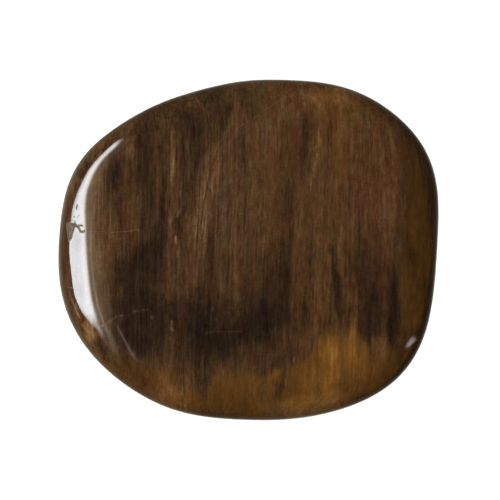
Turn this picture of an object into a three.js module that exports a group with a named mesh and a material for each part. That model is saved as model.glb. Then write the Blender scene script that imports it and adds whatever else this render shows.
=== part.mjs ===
import * as THREE from "three";

// Petrified wood slice: a palm-sized piece of silicified wood, sawn along the grain into a slab,
// ground to a soft rounded outline and polished all over. It lies flat on its lower face.
// Units are millimetres, +Z is up, the wood grain runs along Y.
// The origin is the middle of the footprint box, on the resting face.

// ---- driving dimensions -------------------------------------------------
const THICKNESS = 14.0; // resting face to the crown of the top
const WIDEST_Z = 6.8; // height of the widest line of the rim
const CROWN = 0.35; // how far the middle of the top stands above its shoulder
const TOP_REACH = 10.0; // width of the rounded rim above the widest line, seen from above
const FOOT_REACH = 8.0; // the same below the widest line, down to the resting face

// Outline of the widest line as a radius gauge about the origin:
// mean radius, then the cosine and sine terms of each lobe, from one lobe round the slice to twelve.
const MEAN_RADIUS = 38.899;
const LOBES = [
  [1.013, -0.092],
  [2.403, 0.535],
  [-0.897, 0.215],
  [-1.009, -0.073],
  [-0.318, 0.164],
  [-0.318, 0.077],
  [0.038, -0.014],
  [-0.117, 0.076],
  [0.033, -0.015],
  [-0.025, -0.009],
  [0.002, -0.059],
  [0.023, 0.004],
];

// ---- facet counts -------------------------------------------------------
const AROUND = 120; // facets round the outline
const RIM_TOP_STEPS = 10; // rings on the rounded rim above the widest line
const RIM_FOOT_STEPS = 8; // rings below it
const CROWN_STEPS = 4; // rings on the nearly flat top

// The outline point at an angle, and the outward direction square to the outline there.
function outline(angle) {
  let r = MEAN_RADIUS;
  let dr = 0;
  LOBES.forEach(([a, b], i) => {
    const k = i + 1;
    r += a * Math.cos(k * angle) + b * Math.sin(k * angle);
    dr += k * (b * Math.cos(k * angle) - a * Math.sin(k * angle));
  });
  const c = Math.cos(angle);
  const s = Math.sin(angle);
  const point = new THREE.Vector2(r * c, r * s);
  const along = new THREE.Vector2(dr * c - r * s, dr * s + r * c);
  const out = new THREE.Vector2(along.y, -along.x).normalize();
  return { point, out };
}

// One ring of points: the outline moved inwards by inset, then shrunk towards the middle by share.
function ring(inset, share, z) {
  const points = [];
  for (let i = 0; i < AROUND; i++) {
    const { point, out } = outline((2 * Math.PI * i) / AROUND);
    points.push(
      new THREE.Vector3(
        (point.x - out.x * inset) * share,
        (point.y - out.y * inset) * share,
        z,
      ),
    );
  }
  return points;
}

// Rings from the edge of the resting face up round the rim and over the top.
const shoulderRise = THICKNESS - CROWN - WIDEST_Z;
const rings = [];
for (let i = 0; i <= RIM_FOOT_STEPS; i++) {
  const t = (Math.PI / 2) * (1 - i / RIM_FOOT_STEPS);
  rings.push(
    ring(FOOT_REACH * (1 - Math.cos(t)), 1, WIDEST_Z * (1 - Math.sin(t))),
  );
}
for (let i = 1; i <= RIM_TOP_STEPS; i++) {
  const t = (Math.PI / 2) * (i / RIM_TOP_STEPS);
  rings.push(
    ring(
      TOP_REACH * (1 - Math.cos(t)),
      1,
      WIDEST_Z + shoulderRise * Math.sin(t),
    ),
  );
}
for (let i = 1; i < CROWN_STEPS; i++) {
  const share = 1 - i / CROWN_STEPS;
  rings.push(
    ring(
      TOP_REACH,
      share,
      WIDEST_Z + shoulderRise + CROWN * (1 - share * share) ** 2,
    ),
  );
}

// Stitch the rings, then close the resting face and the crown with fans.
const positions = [];
rings.forEach((points) =>
  points.forEach((p) => positions.push(p.x, p.y, p.z)),
);
const footCentre = positions.length / 3;
positions.push(0, 0, 0);
const crownCentre = positions.length / 3;
positions.push(0, 0, THICKNESS);

const index = [];
for (let j = 0; j + 1 < rings.length; j++) {
  for (let i = 0; i < AROUND; i++) {
    const next = (i + 1) % AROUND;
    const a = j * AROUND + i;
    const b = j * AROUND + next;
    const c = (j + 1) * AROUND + next;
    const d = (j + 1) * AROUND + i;
    index.push(a, b, c, a, c, d);
  }
}
const last = (rings.length - 1) * AROUND;
for (let i = 0; i < AROUND; i++) {
  const next = (i + 1) % AROUND;
  index.push(footCentre, next, i);
  index.push(crownCentre, last + i, last + next);
}

const geometry = new THREE.BufferGeometry();
geometry.setAttribute(
  "position",
  new THREE.Float32BufferAttribute(positions, 3),
);
geometry.setIndex(index);
geometry.computeVertexNormals();

const polishedStone = new THREE.MeshStandardMaterial({
  color: 0x5b402a,
  roughness: 0.12,
  metalness: 0.0,
});

const slice = new THREE.Mesh(geometry, polishedStone);
slice.name = "petrified_wood_slice";

const model = new THREE.Group();
model.add(slice);

export default model;
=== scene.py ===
import math

import bpy
import numpy as np
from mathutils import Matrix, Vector, kdtree
from mathutils.geometry import delaunay_2d_cdt


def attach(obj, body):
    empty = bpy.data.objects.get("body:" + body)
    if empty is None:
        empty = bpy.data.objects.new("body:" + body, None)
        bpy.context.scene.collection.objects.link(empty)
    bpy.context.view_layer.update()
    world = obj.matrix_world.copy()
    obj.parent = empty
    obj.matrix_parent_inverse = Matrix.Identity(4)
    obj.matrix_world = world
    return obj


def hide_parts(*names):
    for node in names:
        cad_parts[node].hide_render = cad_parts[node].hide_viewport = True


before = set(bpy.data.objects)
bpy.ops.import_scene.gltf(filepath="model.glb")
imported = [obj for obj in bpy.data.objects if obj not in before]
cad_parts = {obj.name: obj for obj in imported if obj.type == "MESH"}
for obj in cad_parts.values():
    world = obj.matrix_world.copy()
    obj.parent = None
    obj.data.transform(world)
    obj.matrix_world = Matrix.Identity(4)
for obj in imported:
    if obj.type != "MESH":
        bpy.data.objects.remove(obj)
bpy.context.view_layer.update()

MM = 0.001  # everything below is worked out in millimetres and turned into metres when a mesh is made
NODE = "petrified_wood_slice"

# ---------------------------------------------------------------------------
# The stone's form, the same numbers as the CAD solid
# ---------------------------------------------------------------------------
THICKNESS = 14.0
WIDEST_Z = 6.8
CROWN = 0.35
TOP_REACH = 10.0
FOOT_REACH = 8.0
RISE = THICKNESS - CROWN - WIDEST_Z
MEAN_RADIUS = 38.899
LOBES = [
    (1.013, -0.092), (2.403, 0.535), (-0.897, 0.215), (-1.009, -0.073),
    (-0.318, 0.164), (-0.318, 0.077), (0.038, -0.014), (-0.117, 0.076),
    (0.033, -0.015), (-0.025, -0.009), (0.002, -0.059), (0.023, 0.004),
]


def outline(th):
    """Points of the widest line, the outward direction there, and the first two derivatives."""
    r = np.full_like(th, MEAN_RADIUS)
    d1 = np.zeros_like(th)
    d2 = np.zeros_like(th)
    for k, (a, b) in enumerate(LOBES, 1):
        ck, sk = np.cos(k * th), np.sin(k * th)
        r += a * ck + b * sk
        d1 += k * (b * ck - a * sk)
        d2 -= k * k * (a * ck + b * sk)
    c, s = np.cos(th), np.sin(th)
    point = np.stack([r * c, r * s], -1)
    first = np.stack([d1 * c - r * s, d1 * s + r * c], -1)
    second = np.stack([d2 * c - 2 * d1 * s - r * c, d2 * s + 2 * d1 * c - r * s], -1)
    out = np.stack([first[..., 1], -first[..., 0]], -1)
    out /= np.linalg.norm(out, axis=-1, keepdims=True)
    return point, out, first, second


def rim_coords(P):
    """For points in the plan: the angle of the nearest outline point, the distance inside the outline, and the outward direction."""
    th = np.arctan2(P[:, 1], P[:, 0])
    for _ in range(8):
        C, n, d1, d2 = outline(th)
        w = P - C
        f = (w * d1).sum(-1)
        g = (w * d2).sum(-1) - (d1 * d1).sum(-1)
        step = np.where(np.abs(g) > 1e-6, f / g, 0.0)
        th = th - np.clip(step, -0.2, 0.2)
    C, n, _, _ = outline(th)
    return th, ((C - P) * n).sum(-1), n, C


_t = np.linspace(0, 2 * np.pi, 7200, endpoint=False)
_C, _n, _, _ = outline(_t)
_sh = _C - _n * TOP_REACH
_phi = np.arctan2(_sh[:, 1], _sh[:, 0])
_o = np.argsort(_phi)
SHOULDER_PHI, SHOULDER_R = _phi[_o], np.hypot(_sh[:, 0], _sh[:, 1])[_o]


def arc_table(reach, rise):
    """Arc length along the rounded rim from its inner end (turn 90 degrees) to its widest line (turn 0)."""
    t = np.linspace(0, np.pi / 2, 4001)
    speed = np.sqrt((reach * np.sin(t)) ** 2 + (rise * np.cos(t)) ** 2)
    s = np.r_[0, np.cumsum((speed[1:] + speed[:-1]) / 2 * np.diff(t))]
    return t, s[-1] - s


TOP_T, TOP_ARC = arc_table(TOP_REACH, RISE)
TOP_LEN = TOP_ARC[0]
FOOT_T, FOOT_ARC = arc_table(FOOT_REACH, WIDEST_Z)
FOOT_LEN = FOOT_ARC[0]


def crown_height(P):
    phi = np.arctan2(P[:, 1], P[:, 0])
    rho = np.hypot(P[:, 0], P[:, 1])
    share = rho / np.interp(phi, SHOULDER_PHI, SHOULDER_R, period=2 * np.pi)
    return WIDEST_Z + RISE + CROWN * np.clip(1 - share * share, 0, None) ** 2


def roll(P):
    """Unrolled plan -> the stone's upper surface: points and outward normals."""
    th, d, n, C = rim_coords(P)
    sigma = np.clip(TOP_REACH - d, 0, TOP_LEN)
    rim = d < TOP_REACH
    t = np.interp(sigma, TOP_ARC[::-1], TOP_T[::-1])
    inset = TOP_REACH * (1 - np.cos(t))
    xyz = np.empty((len(P), 3))
    xyz[:, :2] = np.where(rim[:, None], C - n * inset[:, None], P)
    xyz[:, 2] = np.where(rim, WIDEST_Z + RISE * np.sin(t), crown_height(P))
    nr = np.stack([np.cos(t) / TOP_REACH, np.sin(t) / RISE], -1)
    nr /= np.linalg.norm(nr, axis=-1, keepdims=True)
    e = 0.02
    gx = (crown_height(P + [e, 0]) - crown_height(P - [e, 0])) / (2 * e)
    gy = (crown_height(P + [0, e]) - crown_height(P - [0, e])) / (2 * e)
    flat = np.stack([-gx, -gy, np.ones(len(P))], -1)
    flat /= np.linalg.norm(flat, axis=-1, keepdims=True)
    normal = np.where(
        rim[:, None],
        np.stack([n[:, 0] * nr[:, 0], n[:, 1] * nr[:, 0], nr[:, 1]], -1),
        flat,
    )
    return xyz, normal


def unroll(P):
    """Plan seen from above -> unrolled plan."""
    P = np.atleast_2d(np.asarray(P, float))
    th, d, n, C = rim_coords(P)
    rim = d < TOP_REACH
    t = np.arccos(np.clip(1 - d / TOP_REACH, 0, 1))
    sigma = np.interp(t, TOP_T, TOP_ARC)
    return np.where(rim[:, None], C - n * (TOP_REACH - sigma)[:, None], P)


# ---------------------------------------------------------------------------
# The camera: straight above, as the slice is seen lying flat
# ---------------------------------------------------------------------------
LENS, SENSOR, FRAME_PX = 100.0, 36.0, 500
SCALE = 80.03 / 379.95  # mm to a frame pixel, at the height of the widest line
MIDDLE_PX = (247.90, 249.36)  # where the middle of the outline's box lies in the frame
REACH = FRAME_PX * SCALE * LENS / SENSOR  # camera height above the widest line
EYE = np.array(
    [
        ((FRAME_PX - 1) / 2 - MIDDLE_PX[0]) * SCALE,
        -((FRAME_PX - 1) / 2 - MIDDLE_PX[1]) * SCALE,
        WIDEST_Z + REACH,
    ]
)


def plan(points):
    """Places in the camera's frame, counted in pixels, -> the plan in mm, on the stone's upper surface."""
    points = np.atleast_2d(np.asarray(points, float))
    mid = (FRAME_PX - 1) / 2
    z = np.full(len(points), THICKNESS - 1.0)
    for k in range(16):
        f = (EYE[2] - z) / REACH
        P = np.stack(
            [
                EYE[0] + (points[:, 0] - mid) * SCALE * f,
                EYE[1] - (points[:, 1] - mid) * SCALE * f,
            ],
            -1,
        )
        th, d, n, C = rim_coords(P)
        t = np.arccos(np.clip(1 - d / TOP_REACH, 0, 1))
        new = np.where(d < TOP_REACH, WIDEST_Z + RISE * np.sin(t), crown_height(P))
        z = 0.5 * z + 0.5 * new
    return P


cam = bpy.data.objects.new("camera", bpy.data.cameras.new("camera"))
bpy.context.scene.collection.objects.link(cam)
cam.data.lens, cam.data.sensor_width = LENS, SENSOR
cam.data.clip_start, cam.data.clip_end = 0.01, 10.0
cam.location = Vector(EYE * MM)
cam.rotation_euler = (0, 0, 0)
bpy.context.scene.camera = cam

# ---------------------------------------------------------------------------
# Seeded gradient noise for the mesh and its markings
# ---------------------------------------------------------------------------
_rng = np.random.default_rng(7)
_perm = _rng.permutation(256)
_perm = np.r_[_perm, _perm, _perm]
_grad = _rng.normal(size=(256, 3))
_grad /= np.linalg.norm(_grad, axis=1, keepdims=True)


def noise3(p, seed=0):
    """Gradient noise, about -1 to 1, at points p of shape (n, 3)."""
    p = np.asarray(p, float) + seed * 17.31
    i = np.floor(p).astype(int)
    f = p - i
    u = f * f * f * (f * (f * 6 - 15) + 10)
    i &= 255
    total = np.zeros(len(p))
    for dx in (0, 1):
        for dy in (0, 1):
            for dz in (0, 1):
                h = _perm[_perm[_perm[i[:, 0] + dx] + i[:, 1] + dy] + i[:, 2] + dz]
                g = _grad[h & 255]
                off = f - [dx, dy, dz]
                w = (
                    (u[:, 0] if dx else 1 - u[:, 0])
                    * (u[:, 1] if dy else 1 - u[:, 1])
                    * (u[:, 2] if dz else 1 - u[:, 2])
                )
                total += w * (g * off).sum(1)
    return total * 1.6


def smooth(a, b, x):
    t = np.clip((x - a) / (b - a), 0, 1)
    return t * t * (3 - 2 * t)


def to_line(P, line):
    """Distance from each point to a polyline, and how far along it the nearest place is, 0 to 1."""
    best = np.full(len(P), 1e9)
    along = np.zeros(len(P))
    seg = np.diff(line, axis=0)
    length = np.hypot(seg[:, 0], seg[:, 1])
    start = np.r_[0, np.cumsum(length)]
    for a, s, l, s0 in zip(line[:-1], seg, length, start[:-1]):
        t = np.clip(((P - a) @ s) / max(l * l, 1e-12), 0, 1)
        d = np.hypot(*(P - (a + t[:, None] * s)).T)
        near = d < best
        best = np.where(near, d, best)
        along = np.where(near, (s0 + t * l) / start[-1], along)
    return best, along


def in_polygon(P, poly):
    """Signed distance to a closed polygon, positive inside."""
    closed = np.r_[poly, poly[:1]]
    d, _ = to_line(P, closed)
    inside = np.zeros(len(P), bool)
    for (x0, y0), (x1, y1) in zip(closed[:-1], closed[1:]):
        cross = (y0 > P[:, 1]) != (y1 > P[:, 1])
        with np.errstate(divide="ignore", invalid="ignore"):
            x = x0 + (P[:, 1] - y0) / (y1 - y0) * (x1 - x0)
        inside ^= cross & (P[:, 0] < x)
    return np.where(inside, d, -d)


def resample(line, step):
    line = np.asarray(line, float)
    s = np.r_[0, np.cumsum(np.hypot(*np.diff(line, axis=0).T))]
    u = np.linspace(0, s[-1], max(2, int(round(s[-1] / step)) + 1))
    return np.stack([np.interp(u, s, line[:, 0]), np.interp(u, s, line[:, 1])], -1)


# ---------------------------------------------------------------------------
# Breaks in the polish: hairline cracks, the rim chip and its pits
# ---------------------------------------------------------------------------
# name: (width mm, depth mm, places in the frame)
CRACKS = {
    "rim_branch": (0.50, 0.12, [(74, 223.2), (75.6, 224.6), (77, 226), (78.2, 227.4), (79.2, 228.8), (79.6, 230.4), (80.6, 231.2), (81.7, 231.3), (82.8, 230.9), (84.2, 230.4)]),
    "rim_branch_twig": (0.40, 0.10, [(75.8, 224.8), (77.4, 225.3), (79, 225), (80.6, 224.8), (81.9, 225.4)]),
    "left_cross": (0.12, 0.004, [(93, 231.2), (98, 230.8), (110, 232), (125, 231), (140, 229.5)]),
    "arc": (0.12, 0.004, [(99, 326), (103, 324.4), (107.6, 322), (111.6, 319.4), (115.8, 315.8), (122.6, 315.2), (128, 314), (131, 312.6), (135, 310.4), (148, 308), (155, 307), (165, 305.3), (177, 304), (195, 303)]),
    "low_cross": (0.10, 0.003, [(207, 331.8), (214, 331), (222, 331.4), (233, 331), (241, 331.2)]),
    "right_cross": (0.10, 0.004, [(381, 227), (385, 230), (392, 230), (396, 232), (400, 233), (406, 234), (415, 236.5), (426, 239), (435, 241)]),
    "top_feather": (0.10, 0.004, [(235.7, 128.6), (242, 124.2), (248.6, 120)]),
    "top_feather_end": (0.10, 0.004, [(252.9, 118), (262, 111.6), (271, 105.4), (280, 99.3)]),
    "long_diagonal": (0.10, 0.005, [(225, 139), (219, 145), (216.5, 151), (215, 157), (211, 168), (209, 176), (207, 183), (204.5, 196), (202.5, 210), (200.5, 223), (199, 232)]),
    # a shallow scratch whose pale tone is a painted glint, a thin reflection in the rim
    "rim_scratch_and_painted_glint": (0.14, 0.006, [(71, 298), (72.5, 302.5), (74, 306), (76.4, 312), (79.5, 317.4)]),
    "rim_cross": (0.10, 0.03, [(59.5, 287), (64, 286), (71.5, 287)]),
}
CHIP = [(66, 222.8), (68, 222.2), (70.2, 222.4), (73, 222.8), (75.4, 223.8), (75.6, 225.6), (74.2, 227.6), (73.5, 229.6), (73.1, 231.4), (72.2, 233.4), (71.8, 236), (71, 238.2), (69.8, 240), (68.4, 240.4), (67.6, 238.4), (67.2, 235), (66.8, 232), (66.2, 229), (66, 226)]
PITS = [((76.4, 206.4), 0.19, 0.58, 0.12), ((78.5, 214.9), 0.10, 0.12, 0.05), ((76.9, 216.6), 0.14, 0.08, 0.05), ((73.4, 216.0), 0.16, 0.20, 0.05), ((74, 221.2), 0.20, 0.24, 0.06), ((71.4, 219.9), 0.10, 0.12, 0.04)]

cracks = {k: (w, d, unroll(plan(p))) for k, (w, d, p) in CRACKS.items()}
chip_poly = unroll(plan(CHIP))
pits = [(unroll(plan([c]))[0], rx, ry, dep) for c, rx, ry, dep in PITS]


def relief(P):
    """How far the polished surface stands off its ideal form at places in the unrolled plan, in mm (negative is below)."""
    p3 = np.c_[P, np.zeros(len(P))]
    h = 0.006 * noise3(p3 / [9.0, 16.0, 1.0], 3) + 0.0025 * noise3(p3 / [2.2, 7.0, 1.0], 4)
    h -= 0.0135
    for name, (w, dep, line) in cracks.items():
        near = np.flatnonzero(
            (P[:, 0] > line[:, 0].min() - 1) & (P[:, 0] < line[:, 0].max() + 1)
            & (P[:, 1] > line[:, 1].min() - 1) & (P[:, 1] < line[:, 1].max() + 1)
        )
        if not len(near):
            continue
        d, u = to_line(P[near], line)
        ends = smooth(0, 0.06, u) * smooth(0, 0.06, 1 - u)
        if name.startswith("rim_branch"):
            ends = smooth(0, 0.12, 1 - u)
        vary = 0.75 + 0.35 * noise3(p3[near] / 0.8, 5)
        h[near] -= dep * vary * ends * np.clip(1 - d / (w / 2), 0, 1) ** 0.8
    near = np.flatnonzero(np.hypot(*(P - chip_poly.mean(0)).T) < 5)
    if len(near):
        s = in_polygon(P[near], chip_poly)
        rough = noise3(p3[near] / 0.7, 6) + 0.6 * noise3(p3[near] / 0.3, 7)
        bed = 0.26 + 0.12 * rough + 0.10 * smooth(0.2, 1.2, s)
        h[near] -= np.where(s > -0.05, np.clip(bed, 0.05, None) * smooth(-0.05, 0.42, s), 0)
    for c, rx, ry, dep in pits:
        q = np.hypot((P[:, 0] - c[0]) / rx, (P[:, 1] - c[1]) / ry)
        near = q < 1.6
        wob = 1 + 0.3 * noise3(p3[near] / 0.25, 8)
        h[near] -= dep * smooth(1.25, 0.55, q[near] * wob)
    return h


# ---------------------------------------------------------------------------
# Markings of the wood, with some painted shade and reflection, placed in the camera's frame
# ---------------------------------------------------------------------------
# A level is a brightness from 0 to 160; the hue names are the palettes further down.
# Zones: (hue, level, strength, softness px, corner places, and how freely the edge frays if not fully)
ZONES = [
    # the lower honey-coloured part, below a ragged front of the dark heart
    ("honey", 88, 1.0, 5.0, [(96, 350), (112, 362), (135, 367), (150, 370), (165, 370), (180, 376), (188, 386), (196, 392), (204, 394), (210, 386), (214, 376), (222, 368), (230, 373), (250, 373), (262, 375), (272, 372), (283, 370), (290, 366), (300, 361), (310, 353), (317, 345), (326, 333), (338, 330), (350, 326), (357, 332), (364, 343), (372, 344), (379, 334), (387, 336), (391, 352), (397, 352), (402, 344), (436, 330), (450, 420), (250, 440), (80, 400)], 0.6),
    ("russet", 74, 0.5, 8.0, [(110, 363), (150, 367), (188, 378), (190, 394), (150, 394), (118, 380)]),
    # the heart darkens in three steps towards the front
    ("brown", 66, 0.55, 12.0, [(128, 256), (170, 280), (200, 268), (236, 262), (262, 256), (292, 240), (296, 300), (300, 340), (260, 356), (214, 352), (206, 362), (150, 352), (118, 336), (104, 310), (112, 280)]),
    ("brown", 50, 0.75, 8.0, [(108, 306), (130, 300), (165, 304), (200, 292), (238, 296), (262, 288), (290, 284), (306, 318), (298, 334), (280, 344), (258, 352), (232, 358), (216, 350), (206, 362), (190, 366), (170, 352), (148, 358), (128, 350), (114, 336)]),
    ("brown", 38, 0.7, 7.0, [(182, 304), (208, 302), (238, 316), (262, 304), (286, 294), (294, 316), (284, 332), (262, 338), (236, 346), (214, 344), (206, 358), (190, 350), (182, 330)]),
    ("brown", 42, 0.6, 7.0, [(116, 316), (134, 306), (160, 306), (168, 326), (154, 346), (134, 348), (120, 336)]),
    # dark left field
    ("brown", 60, 0.7, 8.0, [(114, 126), (146, 94), (166, 96), (170, 150), (168, 200), (168, 300), (112, 312), (112, 250), (124, 236), (108, 208), (104, 168)]),
    ("brown", 44, 0.75, 7.0, [(140, 246), (150, 234), (166, 240), (164, 262), (160, 276), (150, 300), (128, 306), (114, 304), (112, 286), (116, 262), (128, 256)]),
    # dark upper field left of the long crack
    ("brown", 54, 0.8, 6.0, [(172, 104), (200, 106), (214, 104), (228, 106), (220, 130), (210, 150), (198, 168), (196, 200), (184, 210), (178, 170), (176, 140)]),
    ("brown", 65, 0.8, 4.0, [(192, 346), (206, 350), (230, 346), (262, 346), (286, 348), (300, 344), (303, 354), (293, 364), (283, 370), (272, 373), (262, 377), (250, 374), (230, 370), (220, 366), (213, 374), (209, 384), (203, 392), (195, 389), (187, 382), (184, 366)], 0.6),
    ("brown", 42, 0.8, 6.0, [(126, 292), (144, 288), (160, 292), (163, 306), (158, 318), (130, 316)]),
    # reddish right field
    ("honey", 100, 0.5, 9.0, [(316, 96), (336, 88), (366, 100), (378, 118), (376, 150), (352, 176), (338, 172), (330, 140), (318, 116)]),
    ("russet", 86, 0.5, 9.0, [(345, 118), (392, 118), (402, 160), (400, 220), (386, 225), (345, 225), (340, 170)]),
    ("russet", 58, 0.75, 7.0, [(346, 258), (366, 244), (388, 258), (400, 276), (398, 335), (386, 336), (374, 330), (364, 338), (352, 318), (343, 300)]),
    ("brown", 44, 0.75, 6.0, [(360, 292), (372, 284), (382, 292), (382, 318), (376, 334), (366, 340), (361, 322)]),
    # honey and olive margin on the right
    ("honey", 72, 0.7, 7.0, [(402, 140), (440, 150), (445, 330), (404, 342), (401, 260), (403, 200)]),
    ("honey", 86, 0.8, 6.0, [(409, 204), (424, 190), (430, 260), (428, 316), (410, 330), (404, 300), (408, 262)]),
    # gold patch at the front edge
    ("honey", 126, 0.75, 7.0, [(280, 404), (290, 398), (304, 396), (322, 394), (340, 390), (348, 396), (332, 408), (304, 416), (284, 416)], 0.0),
    ("olive", 124, 0.3, 7.0, [(280, 404), (290, 398), (304, 396), (322, 394), (340, 390), (348, 396), (332, 408), (304, 416), (284, 416)], 0.0),
    # the dark wedge right of the middle, sharp along its left edge
    ("brown", 58, 0.6, 3.0, [(331, 248), (333, 268), (336, 282), (342, 280), (341, 262), (336, 250)]),
    ("brown", 40, 0.85, 2.2, [(331.5, 264), (332.6, 280), (333.8, 292), (334.8, 304), (337, 316), (339.6, 328), (341.6, 316), (342.4, 304), (342, 290), (340.6, 278), (336, 268)], 0.4),
    # left rim
    ("russet", 66, 0.8, 4.0, [(50, 180), (70, 176), (66, 230), (66, 290), (74, 330), (60, 330), (50, 260)]),
]
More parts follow.
